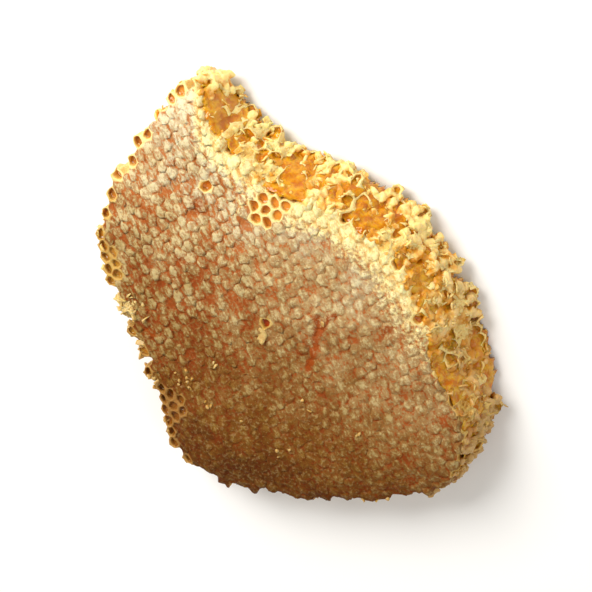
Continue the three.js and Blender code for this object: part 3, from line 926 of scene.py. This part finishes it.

# The height on a dome, roughened, and with less contrast towards the lower right. It picks the
# caps' colours from furrow to top: partly their own tones, partly painted shade in the furrows and
# painted highlight on the tops, paler and stronger towards the top and the upper left.
height = adjust(tree, dome, tone, (0, 1), (-0.25, 0.15), interpolation="LINEAR")
for by, limits, into in (
    (fine, (0, 1), (-0.2, 0.2)), (grainy, (0, 1), (-0.28, 0.28)), (strokes, (0, 1), (0.35, -0.35)),
    (uphill, (5, 50), (0, 0.1)), (leftwards, (0, 1), (0, 0.08)),
):
    height = adjust(tree, height, by, limits, into)
height = add_node(tree, "ShaderNodeMath", {0: height, 1: CONTRAST_CENTRE}, operation="SUBTRACT")
height = adjust(tree, height, leftwards, (0, 1), (0.7, 1), "MULTIPLY")
height = add_node(tree, "ShaderNodeMath", {0: height, 1: CONTRAST_CENTRE})
streaks = add_node(tree, "ShaderNodeMapRange", {
    0: strokes, 1: 0.5, 2: 0.9,
}, interpolation_type="SMOOTHSTEP")
streaks = adjust(tree, streaks, leftwards, (0, 1), (0.35, 1), "MULTIPLY")
streaks = adjust(tree, streaks, dome, (0.5, 1.1), (1, 0.25), "MULTIPLY")

caps = cover(tree, colours["furrow"], colours["side"], height, 0, 0.5)
caps = cover(tree, caps, colours["top"], height, 0.6, 1.35)
caps = cover(tree, caps, colours["streak"], streaks, most=0.75)
cream = cover(tree, colours["pale furrow"], colours["pale side"], height, 0, 0.6)
cream = cover(tree, cream, colours["pale top"], height, 0.5, 1.1)
caps = cover(tree, caps, cream, adjust(tree, brink, grainy, (0, 1), (-0.25, 0.25)), 0.1, 0.8)
redness = adjust(tree, stain, grainy, (0, 1), (1.3, 0.6), "MULTIPLY")
caps = cover(tree, caps, STAIN_COLOUR, redness, 0.1, 0.8, most=0.9)

# Bare wax turns darker and more amber the deeper it lies in a cell, a flute or a torn floor: partly
# the wax's own amber, partly painted shade in the recess.
depth = adjust(tree, deep, fine, (0, 1), (-0.12, 0.12))
bare = cover(tree, colours["crest"], colours["wall"], depth, 0, 0.4)
broken_side = cover(tree, colours["rib"], colours["flute"], depth, 0.1, 0.5)
up = add_node(tree, "ShaderNodeSeparateXYZ", {0: place}).outputs["Z"]
bare = cover(tree, broken_side, bare, up, *SIDE_HEIGHTS)
floors = add_node(tree, "ShaderNodeMix", {
    0: torn, 6: colours["floor"], 7: TORN_FLOOR,
}, data_type="RGBA")
bare = cover(tree, bare, floors, depth, 0.45, 1)
colour = add_node(tree, "ShaderNodeMix", {0: cap, 6: bare, 7: caps}, data_type="RGBA")
relief = adjust(tree, grainy, speckle(tree, place, 0.5 * MM, 4.0), (0, 1), (0, 0.4))
wrinkle = add_node(tree, "ShaderNodeBump", {"Height": relief, "Strength": 0.6, "Distance": 0.4 * MM})
end_material(tree, {
    "Base Color": colour, "Roughness": 0.6, "Specular IOR Level": 0.1, "Normal": wrinkle,
    "Subsurface Weight": 0.35, "Subsurface Radius": (1.0, 0.65, 0.35), "Subsurface Scale": 1.6 * MM,
})

comb = add_object("comb", comb_skin.mesh("comb"))
comb.data.materials.append(beeswax)
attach(comb, "root")
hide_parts("honeycomb")

# ------------------------------------------------------------------------------ the honey
# Raw honey. It still stands in each open cell and creeps up its walls, and it ran down the tear,
# where it lies in every hollow of the torn wax.

RUN_GRID = 1.1 * MM
RUN_DEPTH, RUN_BOTTOM = 2.6 * MM, 0.3 * MM
RUN_LEVEL = (-0.6 * MM, 1.5 * MM, 5 * MM)  # over the smooth tear: mean, unevenness, its length
RUN_SEED = 90
RUN_TUCK = 3 * MM  # how far the edges of the honey dip into the wax
RUN_MARGIN = np.array([2.2, 6]) * MM  # inwards from the outline, over which the honey rises
RUN_START = 0.02  # torn share from which it lies
RUN_LEAST = 0.8 * MM
SCOOP_FILLS = [0.45, 0.45, 0.45, 0.1]  # how far honey fills each scoop
STREAK = np.array([[-35, 79], [-20, 63], [0, 50]]) * MM  # honey that runs along the tear
STREAK_WIDTH, STREAK_RISE = 4.5 * MM, 0.5 * MM
TEAR_LEAN = 0.3  # how far a step aside counts as a step down the tear


def run_height(x, y):
    """Height of the honey that ran down the tear."""
    mean, uneven, length = RUN_LEVEL
    level = np.minimum(front_height(x, y), tear_height(x, y)) + mean
    level = level + uneven * swell(x, y, length, RUN_SEED)
    for (sx, sy, radius, scoop), fill in zip(SCOOPS, SCOOP_FILLS):
        level = level + fill * scoop * np.exp(-((x - sx) ** 2 + (y - sy) ** 2) / radius**2)
    level = level + STREAK_RISE * np.exp(-((gap_to_path(x, y, STREAK) / STREAK_WIDTH) ** 2))
    inwards = smooth((edge_at(x, y)[0] - RUN_MARGIN[0]) / np.ptp(RUN_MARGIN))
    level = level - RUN_TUCK * (2 - inwards - torn_share(x, y))
    return np.maximum(level, RUN_LEAST)


def add_run(skin):
    """The run honey as a closed blanket: a grid on the torn slope, and its copy inside the wax."""
    span_x, span_y = (np.arange(*np.sort(OUTLINE[:, axis])[[0, -1]], RUN_GRID) for axis in (0, 1))
    x, y = np.meshgrid(span_x, span_y)
    flat_x, flat_y = x.ravel(), y.ravel()
    wet = (torn_share(flat_x, flat_y) > RUN_START) & (edge_at(flat_x, flat_y)[0] > RUN_MARGIN[0])
    wet, level = wet.reshape(x.shape), run_height(flat_x, flat_y).reshape(x.shape)
    squares = wet[:-1, :-1] & wet[1:, :-1] & wet[:-1, 1:] & wet[1:, 1:]
    squares = {(int(i), int(j)) for i, j in np.argwhere(squares)}

    def corner(i, j, layer, owner):
        # A corner where two squares only touch is split, so that the blanket stays closed.
        around = [square for square in itertools.product((i - 1, i), (j - 1, j)) if square in squares]
        touching = len(around) == 2 and np.abs(np.subtract(*around)).sum() == 2
        height = level[i, j] if layer == "top" else max(level[i, j] - RUN_DEPTH, RUN_BOTTOM)
        key = (layer, i, j, owner if touching else None)
        return skin.add((x[i, j], y[i, j]), height, (0, 1, 0.5, 0), key)

    for i, j in sorted(squares):
        places = [(i, j), (i, j + 1), (i + 1, j + 1), (i + 1, j)]
        top = [corner(*place, "top", (i, j)) for place in places]
        under = [corner(*place, "under", (i, j)) for place in places]
        skin.faces += [tuple(top), tuple(under[::-1])]
        for k, beyond in enumerate([(i - 1, j), (i, j + 1), (i + 1, j), (i, j - 1)]):
            if beyond not in squares:
                skin.faces.append((top[k], under[k], under[(k + 1) % 4], top[(k + 1) % 4]))


def up_the_tear(tree, place):
    """Millimetres up the tear, whose colours turn browner at its right end and at the foot of the
    slab, partly as painted shade.
    """
    axes = add_node(tree, "ShaderNodeSeparateXYZ", {0: place}).outputs
    aside = add_node(tree, "ShaderNodeMath", {0: axes["X"]}, operation="ABSOLUTE")
    up = add_node(tree, "ShaderNodeMath", {
        0: aside, 1: -TEAR_LEAN, 2: axes["Y"],
    }, operation="MULTIPLY_ADD")
    return add_node(tree, "ShaderNodeMath", {0: up, 1: MM}, operation="DIVIDE")


# Raw honey: deep orange where it lies thick, amber where it ripples thin, darker and browner at the
# slab's foot, partly painted shade; in the cells it is brighter orange towards the top of the slab,
# partly painted light; wet and glossy, with light that spreads inside it.
raw_honey, tree = start_material("raw honey")
place = add_node(tree, "ShaderNodeTexCoord").outputs["Object"]
up, ripples = up_the_tear(tree, place), speckle(tree, place, 3.5 * MM)
run = add_node(tree, "ShaderNodeMix", {
    0: ripples,
    6: ramp(tree, up, {-35: "#c66e06", -5: "#c97406", 20: "#be6600", 60: "#cf7408"}),
    7: ramp(tree, up, {-35: "#e2aa30", -5: "#e8b034", 20: "#eca012", 60: "#f8b024"}),
}, data_type="RGBA")
x, y, _ = add_node(tree, "ShaderNodeSeparateXYZ", {0: place}).outputs
# Honey kept in the cells: browner at the slab's foot and brighter orange towards its top, partly
# painted shade and painted light.
kept = cover(tree, "#cf9236", "#b0460a", x, -72 * MM, -55 * MM)
kept = cover(tree, kept, "#d4781a", x, 20 * MM, 45 * MM)
kept = cover(tree, "#a0601a", kept, y, -50 * MM, -30 * MM)
kept = cover(tree, kept, cover(tree, "#c98030", "#f79a34", x, -60 * MM, -40 * MM), y, 0, 38 * MM)
torn = add_node(tree, "ShaderNodeAttribute", attribute_name="torn").outputs["Fac"]
wave = add_node(tree, "ShaderNodeBump", {"Height": ripples, "Strength": 0.5, "Distance": 0.8 * MM})
end_material(tree, {
    "Base Color": cover(tree, kept, run, torn, 0, 0.5), "Normal": wave,
    "Roughness": 0.06, "IOR": 1.45, "Specular IOR Level": 0.3, "Transmission Weight": 0.2,
    "Subsurface Weight": 0.5, "Subsurface Radius": (1.0, 0.55, 0.1), "Subsurface Scale": 3 * MM,
})

add_run(honey_skin)
honey = add_object("honey", honey_skin.mesh("honey"))
honey.data.materials.append(raw_honey)
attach(honey, "root")

# ------------------------------------------------------------------------------ the torn wax
# What the tear left of the cell walls: wax mashed together into soft lumps, with a few loose scraps
# and thin bent flakes of wall on it, all glued down by the honey that soaks their feet.

MASH_GAPS = (11 * MM, 0.4)  # size of the gaps in the mashed wax, and their share of the tear
MASH_ISLANDS = (5.5 * MM, 0.42)  # the same for its islands in the pool at the tear's right end
POOL = np.array([74, -23, 17]) * MM  # middle and radius of that pool
STREAK_RAGGED = (4 * MM, 0.5)  # length and share of the unevenness of the gap round the streak
MASH_REACH = 0.4  # how deep into the cells the mashed wax goes
MASH_FOOT = 8 * MM
MASH_SEED = 95
LITTER_SPOTS = [[-79, -13, 6, 9], [-66, -46, 4, 3], [-73, -28, 4, 3]]  # x, y, radius, amount
CRUMB_SPOTS = [
    [-33, -35, 3, 12], [-49, -42, 3.4, 16], [-39, -52, 2.6, 9], [-22, -58, 3, 7], [-56, -62, 3, 9],
    [8, -47, 3, 7], [-4, -70, 4, 4], [30, -60, 4, 4],
]
SPOT_FOOT, TEAR_FOOT = 14 * MM, 3 * MM  # scraps lie above these
SPOT_MASH = (2, 4, 0.5)  # between these amounts of litter, how much of it is mashed wax
SIDE_LITTER = (1.8 * MM, 0.3)  # how far in from the broken sides, and how much lies there
SIDE_LITTER_HEIGHTS = np.array([5, 28]) * MM
FLAKE_BEND = (1.8, 1.4, 0)  # rise of a flake's ends and sides, for their distance squared


def start_tree(name, labels):
    """A tree with named inputs that strews points over a mesh by its litter attribute."""
    tree = bpy.data.node_groups.new(name, "GeometryNodeTree")
    tree.interface.new_socket("Geometry", in_out="OUTPUT", socket_type="NodeSocketGeometry")
    kinds = {"Geometry": "Geometry", "Material": "Material", "Seed": "Int",
             "Least size": "Vector", "Greatest size": "Vector"}
    shared = ["Crumple", "Crumple length", "Seed", "Material"]
    for label in ["Geometry", "Points per square metre", *labels, *shared]:
        kind = "NodeSocket" + kinds.get(label, "Float")
        tree.interface.new_socket(label, in_out="INPUT", socket_type=kind)
    given = add_node(tree, "NodeGroupInput").outputs
    litter = add_node(tree, "GeometryNodeInputNamedAttribute", {"Name": "litter"})
    density = add_node(tree, "ShaderNodeMath", {
        0: litter, 1: given["Points per square metre"],
    }, operation="MULTIPLY")
    points = add_node(tree, "GeometryNodeDistributePointsOnFaces", {
        "Mesh": given["Geometry"], "Density": density, "Seed": given["Seed"],
    })
    return tree, given, points


def end_tree(tree, given, geometry):
    """Crumples a mesh, gives it its material and closes the tree."""
    scale = add_node(tree, "ShaderNodeMath", {0: 1, 1: given["Crumple length"]}, operation="DIVIDE")
    noise = add_node(tree, "ShaderNodeTexNoise", {
        "Vector": add_node(tree, "GeometryNodeInputPosition"), "Scale": scale, "Detail": 2.5,
    })
    centred = add_node(tree, "ShaderNodeVectorMath", {
        0: noise.outputs["Color"], 1: (0.5, 0.5, 0.5),
    }, operation="SUBTRACT")
    offset = add_node(tree, "ShaderNodeVectorMath", {
        0: centred, "Scale": given["Crumple"],
    }, operation="SCALE")
    plain = add_node(tree, "GeometryNodeRealizeInstances", {0: geometry})
    moved = add_node(tree, "GeometryNodeSetPosition", {"Geometry": plain, "Offset": offset})
    shaded = add_node(tree, "GeometryNodeSetShadeSmooth", {"Geometry": moved})
    dressed = add_node(tree, "GeometryNodeSetMaterial", {
        "Geometry": shaded, "Material": given["Material"],
    })
    add_node(tree, "NodeGroupOutput", {0: dressed})
    return tree


def mash_tree():
    """Points swollen into each other as soft lumps."""
    labels = ["Sink", "Least radius", "Greatest radius", "Voxel"]
    tree, given, points = start_tree("mashed wax", labels)
    sink = add_node(tree, "ShaderNodeMath", {0: given["Sink"], 1: -1}, operation="MULTIPLY")
    sunk = add_node(tree, "GeometryNodeSetPosition", {
        "Geometry": points, "Offset": add_node(tree, "ShaderNodeCombineXYZ", {2: sink}),
    })
    radius = add_node(tree, "FunctionNodeRandomValue", {
        2: given["Least radius"], 3: given["Greatest radius"], "Seed": given["Seed"],
    }, data_type="FLOAT")
    volume = add_node(tree, "GeometryNodePointsToVolume", {
        "Points": sunk, "Radius": radius, "Voxel Size": given["Voxel"],
    }, resolution_mode="VOXEL_SIZE")
    mesh = add_node(tree, "GeometryNodeVolumeToMesh", {"Volume": volume, "Threshold": 0.1})
    blurred = add_node(tree, "GeometryNodeBlurAttribute", {
        "Iterations": 3, "Value": add_node(tree, "GeometryNodeInputPosition"),
    }, data_type="FLOAT_VECTOR")
    soft = add_node(tree, "GeometryNodeSetPosition", {"Geometry": mesh, "Position": blurred})
    return end_tree(tree, given, soft)


def grain_tree(name, add_grain):
    """A grain on each point, turned at random and of random proportions."""
    tree, given, points = start_tree(name, ["Least size", "Greatest size"])
    next_seed = add_node(tree, "ShaderNodeMath", {0: given["Seed"], 1: 1})
    spin = add_node(tree, "FunctionNodeRandomValue", {
        0: (0, 0, 0), 1: (math.tau,) * 3, "Seed": next_seed,
    }, data_type="FLOAT_VECTOR")
    size = add_node(tree, "FunctionNodeRandomValue", {
        0: given["Least size"], 1: given["Greatest size"], "Seed": given["Seed"],
    }, data_type="FLOAT_VECTOR")
    grains = add_node(tree, "GeometryNodeInstanceOnPoints", {
        "Points": points, "Instance": add_grain(tree), "Rotation": spin, "Scale": size,
    })
    return end_tree(tree, given, grains)


def add_lump(tree):
    return add_node(tree, "GeometryNodeMeshIcoSphere", {"Radius": 0.5, "Subdivisions": 2})


def add_flake(tree):
    """A thin plate, bent along its length and dished a little across."""
    plate = add_node(tree, "GeometryNodeMeshCube", {
        "Size": (1, 1, 1), "Vertices X": 5, "Vertices Y": 4, "Vertices Z": 2,
    })
    place = add_node(tree, "GeometryNodeInputPosition")
    square = add_node(tree, "ShaderNodeVectorMath", {0: place, 1: place}, operation="MULTIPLY")
    rise = add_node(tree, "ShaderNodeVectorMath", {0: square, 1: FLAKE_BEND}, operation="DOT_PRODUCT")
    offset = add_node(tree, "ShaderNodeCombineXYZ", {2: rise})
    return add_node(tree, "GeometryNodeSetPosition", {"Geometry": plate, "Offset": offset})


def mesh_places(mesh):
    """Coordinates of a mesh's vertices in the outline's own axes."""
    flat = np.empty(3 * len(mesh.vertices), dtype=np.float32)
    mesh.vertices.foreach_get("co", flat)
    return (flat.reshape(-1, 3) + [*FOOTPRINT_MIDDLE, 0]).T


def strewn(name, tree, litter, values):
    """The plain mesh that a tree makes on the comb, as an object of its own."""
    ground = comb.data.copy()
    attribute = ground.attributes.new("litter", "FLOAT", "POINT")
    attribute.data.foreach_set("value", litter.astype(np.float32))
    maker = add_object(name + " maker", ground)
    modifier = maker.modifiers.new("strew", "NODES")
    modifier.node_group = tree
    for socket in tree.interface.items_tree:
        if socket.in_out == "INPUT" and socket.name in values:
            modifier[socket.identifier] = values[socket.name]
    graph = bpy.context.evaluated_depsgraph_get()
    mesh = bpy.data.meshes.new_from_object(maker.evaluated_get(graph))
    bpy.data.objects.remove(maker)
    x, y, z = mesh_places(mesh)
    attribute = mesh.attributes.new("raised", "FLOAT", "POINT")
    attribute.data.foreach_set("value", (z - run_height(x, y)).astype(np.float32))
    return add_object(name, mesh)


x, y, z = mesh_places(comb.data)
on_tear = torn_share(x, y) * (z > TEAR_FOOT)
gap_size, gap_share = MASH_GAPS
island_size, island_share = MASH_ISLANDS
broken = swell(x, y + z, gap_size, MASH_SEED) > 2 * gap_share - 1
islands = swell(x, y + z, island_size, MASH_SEED + 1) > 1 - 2 * island_share
broken = broken | islands & (np.hypot(x - POOL[0], y - POOL[1]) < POOL[2])
ragged_length, ragged_share = STREAK_RAGGED
gap_width = 1 + ragged_share * swell(x, y, ragged_length, MASH_SEED + 2)
broken = broken & (gap_to_path(x, y, STREAK) > STREAK_WIDTH * gap_width)
deep = np.empty(len(x), dtype=np.float32)
comb.data.attributes["deep"].data.foreach_get("value", deep)
mashed = on_tear * (z > MASH_FOOT) * (deep < MASH_REACH) * broken
near_spots, near_crumbs = (
    sum(amount * np.exp(-(np.hypot(x - sx * MM, y - sy * MM) / (radius * MM)) ** 2)
        for sx, sy, radius, amount in spots) * (z > SPOT_FOOT)
    for spots in (LITTER_SPOTS, CRUMB_SPOTS)
)
lowest, highest = SIDE_LITTER_HEIGHTS
on_sides = (edge_at(x, y)[0] < SIDE_LITTER[0]) * (z > lowest) * (z < highest)
litter = on_tear + near_spots + SIDE_LITTER[1] * on_sides
least, most, share = SPOT_MASH
mashed = mashed + share * (np.clip(near_spots, least, most) - least) * (deep < MASH_REACH)

# Torn wax: amber low down, where it lies near the honey's level, partly from honey soaking into it
# and partly painted shade in the hollows between lumps, and cream on the dry crags above it;
# darker and browner towards the slab's foot, partly painted shade; waxy and softly lit from within.
torn_wax, tree = start_material("torn wax")
place = add_node(tree, "ShaderNodeTexCoord").outputs["Object"]
raised = add_node(tree, "ShaderNodeAttribute", attribute_name="raised").outputs["Fac"]
for size, reach in ((8 * MM, 2.2 * MM), (2.5 * MM, 1.0 * MM)):
    raised = adjust(tree, raised, speckle(tree, place, size), (0, 1), (-reach, reach))
up = up_the_tear(tree, place)
# Orange low between the lumps is partly painted shade, and so is the browner end at the slab's foot.
soaked_and_shaded = ramp(tree, up, {-80: "#a2661c", -35: "#c68412", 15: "#dc9216"})
damp_half_shaded = ramp(tree, up, {-80: "#aa7830", -35: "#cf9c42", 12: "#e9b252", 30: "#f0bd62"})
dry = ramp(tree, up, {
    -80: "#b58e4c", -50: "#bf9858", -30: "#dab570", -10: "#e6c37c", 12: "#f1cf7f", 30: "#f6db8b",
})
tint = cover(tree, cover(tree, soaked_and_shaded, damp_half_shaded, raised, 0, 2.2 * MM), dry, raised, 1.8 * MM, 4.4 * MM)
grit = speckle(tree, place, 0.5 * MM, 4.0)
wrinkle = add_node(tree, "ShaderNodeBump", {"Height": grit, "Strength": 0.4, "Distance": 0.12 * MM})
end_material(tree, {
    "Base Color": tint, "Roughness": 0.4, "Normal": wrinkle,
    "Subsurface Weight": 0.5, "Subsurface Radius": (1.0, 0.7, 0.3), "Subsurface Scale": 2.5 * MM,
})

mash = strewn("mashed_wax", mash_tree(), mashed, {
    "Points per square metre": 3e5, "Sink": 1.5 * MM, "Least radius": 0.8 * MM,
    "Greatest radius": 2.1 * MM, "Voxel": 0.54 * MM, "Crumple": 3 * MM, "Crumple length": 2.8 * MM,
    "Seed": 3, "Material": torn_wax,
})
lumps = strewn("wax_lumps", grain_tree("strewn lumps", add_lump), litter + near_crumbs, {
    "Points per square metre": 1.2e4, "Least size": (0.8 * MM, 0.8 * MM, 0.6 * MM),
    "Greatest size": (2.8 * MM, 2.2 * MM, 1.6 * MM), "Crumple": 2 * MM, "Crumple length": 1.5 * MM,
    "Seed": 5, "Material": torn_wax,
})
flakes = strewn("wax_flakes", grain_tree("strewn flakes", add_flake), litter, {
    "Points per square metre": 2e4, "Least size": (1.8 * MM, 1.6 * MM, 0.35 * MM),
    "Greatest size": (5 * MM, 4.2 * MM, 0.6 * MM), "Crumple": 2 * MM, "Crumple length": 2 * MM,
    "Seed": 8, "Material": torn_wax,
})
for piece in (mash, lumps, flakes):
    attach(piece, "root")

# ------------------------------------------------------------------------------ the wax scales
# Two thin scales of cap wax that lie on the face: the flap that folded back from the lone open
# cell, and a bead in the fork of the crack.

SCALE_THICKNESS = 0.4 * MM
SCALE_LIFT = 0.9 * MM  # over the smooth face, to clear the domes
SCALES = [  # root x and y, length, width, curl, turn in degrees
    [-14.1, -12.6, 7.4, 4, 1.2, -82], [12.1, -9.1, 2.6, 2.4, 0.8, 40],
]
SCALE_STEPS = (7, 6)  # vertices along and across
SCALE_BLUNTNESS = 1.02  # over 1, so that the ends have some width
SCALE_RAGGED = (7, 3, 0.45)  # waves along and across, and their share of the width
SCALE_SAG = 0.3  # of its sides, as a share of its curl
SCALE_WRINKLE = (1.3 * MM, 0.3 * MM)  # length and height
SCALE_SEED = 120

rows, columns = SCALE_STEPS
along, aside = np.meshgrid(np.linspace(0, 1, rows), np.linspace(-1, 1, columns), indexing="ij")
places, faces = [], []
waves_along, waves_across, share = SCALE_RAGGED
for number, (*sizes, turn) in enumerate(SCALES):
    root_x, root_y, length, width, curl = np.array(sizes) * MM
    turn = math.radians(turn)
    ragged = swell(waves_along * along, waves_across * aside + 20 * number, 1, SCALE_SEED)
    out = length * along
    side = width / 2 * aside * np.sqrt(SCALE_BLUNTNESS - (2 * along - 1) ** 2)
    side = side * (1 + share * ragged)
    x = root_x + out * math.cos(turn) - side * math.sin(turn)
    y = root_y + out * math.sin(turn) + side * math.cos(turn)
    z = front_height(x.ravel(), y.ravel()).reshape(x.shape) + SCALE_LIFT
    z = z + curl * (along**2 - SCALE_SAG * aside**2)
    z = z + SCALE_WRINKLE[1] * swell(x, y, SCALE_WRINKLE[0], SCALE_SEED + 1)
    upper, under = len(places) + np.arange(2 * rows * columns).reshape(2, rows, columns)
    for layer in (z, z - SCALE_THICKNESS):
        places += np.column_stack([x.ravel(), y.ravel(), layer.ravel()]).tolist()
    for i in range(rows - 1):
        for j in range(columns - 1):
            square = [(i, j), (i + 1, j), (i + 1, j + 1), (i, j + 1)]
            faces.append([int(upper[at]) for at in square])
            faces.append([int(under[at]) for at in square[::-1]])
    border = [(i, 0) for i in range(rows)] + [(rows - 1, j) for j in range(1, columns)]
    border += [(i, columns - 1) for i in range(rows - 2, -1, -1)]
    border += [(0, j) for j in range(columns - 2, 0, -1)]
    for here, there in zip(border, border[1:] + border[:1]):
        faces.append([int(n) for n in (upper[here], under[here], under[there], upper[there])])

places = np.array(places)
places[:, :2] -= FOOTPRINT_MIDDLE
mesh = bpy.data.meshes.new("wax_scales")
mesh.from_pydata(places.tolist(), [], faces)
mesh.shade_smooth()

# Cap wax: the same tan and cream as the caps, thin and a little waxy.
cap_wax, tree = start_material("loose cap wax")
place = add_node(tree, "ShaderNodeTexCoord").outputs["Object"]
patches = speckle(tree, place, 1.5 * MM)
tint = add_node(tree, "ShaderNodeMix", {0: patches, 6: "#b48a45", 7: "#d2b26c"}, data_type="RGBA")
end_material(tree, {
    "Base Color": tint, "Roughness": 0.5,
    "Subsurface Weight": 0.4, "Subsurface Radius": (1.0, 0.6, 0.25), "Subsurface Scale": 1.5 * MM,
})
mesh.materials.append(cap_wax)
scales = add_object("wax_scales", mesh)
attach(scales, "root")

# ------------------------------------------------------------------------------ the studio
# A plain pale floor, soft light from the upper left, and the camera.

FLOOR_LEVEL = -0.05 * MM  # just clear of the caps that are pressed flat
FLOOR_CORNERS = [(-3, -3), (3, -3), (3, 3), (-3, 3)]
TARGET = Vector((0, 0, 0.018))
LIGHTS = [("key light", (-0.45, 0.6, 0.7), 0.6, 13), ("fill light", (0.7, -0.1, 0.7), 0.8, 3)]
SKY_COLOUR, SKY_STRENGTH = "#fbf8f3", 0.45
TOWARDS_CAMERA = Vector((0.272, 0.324, 0.906)).normalized()
CAMERA_DISTANCE = 0.7
LENS = 99

floor = bpy.data.meshes.new("floor")
floor.from_pydata([(x, y, FLOOR_LEVEL) for x, y in FLOOR_CORNERS], [], [(0, 1, 2, 3)])
floor = add_object("floor", floor)
pale, tree = start_material("pale floor")
end_material(tree, {"Base Color": "#f4f2ee", "Roughness": 0.8})
floor.data.materials.append(pale)

for name, spot, size, watts in LIGHTS:
    light = bpy.data.lights.new(name, "AREA")
    light.size, light.energy = size, watts
    lamp = add_object(name, light)
    lamp.location = spot
    lamp.rotation_euler = (TARGET - lamp.location).to_track_quat("-Z", "Y").to_euler()

world = bpy.data.worlds.new("studio")
world.use_nodes = True
background = world.node_tree.nodes["Background"].inputs
background["Color"].default_value = linear(SKY_COLOUR)
background["Strength"].default_value = SKY_STRENGTH
bpy.context.scene.world = world

upwards = (Vector((0, 1, 0)) - TOWARDS_CAMERA.y * TOWARDS_CAMERA).normalized()
turn = Matrix((upwards.cross(TOWARDS_CAMERA), upwards, TOWARDS_CAMERA)).transposed()
camera = add_object("camera", bpy.data.cameras.new("camera"))
camera.data.lens = LENS
camera.matrix_world = Matrix.Translation(TARGET + CAMERA_DISTANCE * TOWARDS_CAMERA) @ turn.to_4x4()
bpy.context.scene.camera = camera
bpy.context.scene.view_settings.view_transform = "Standard"
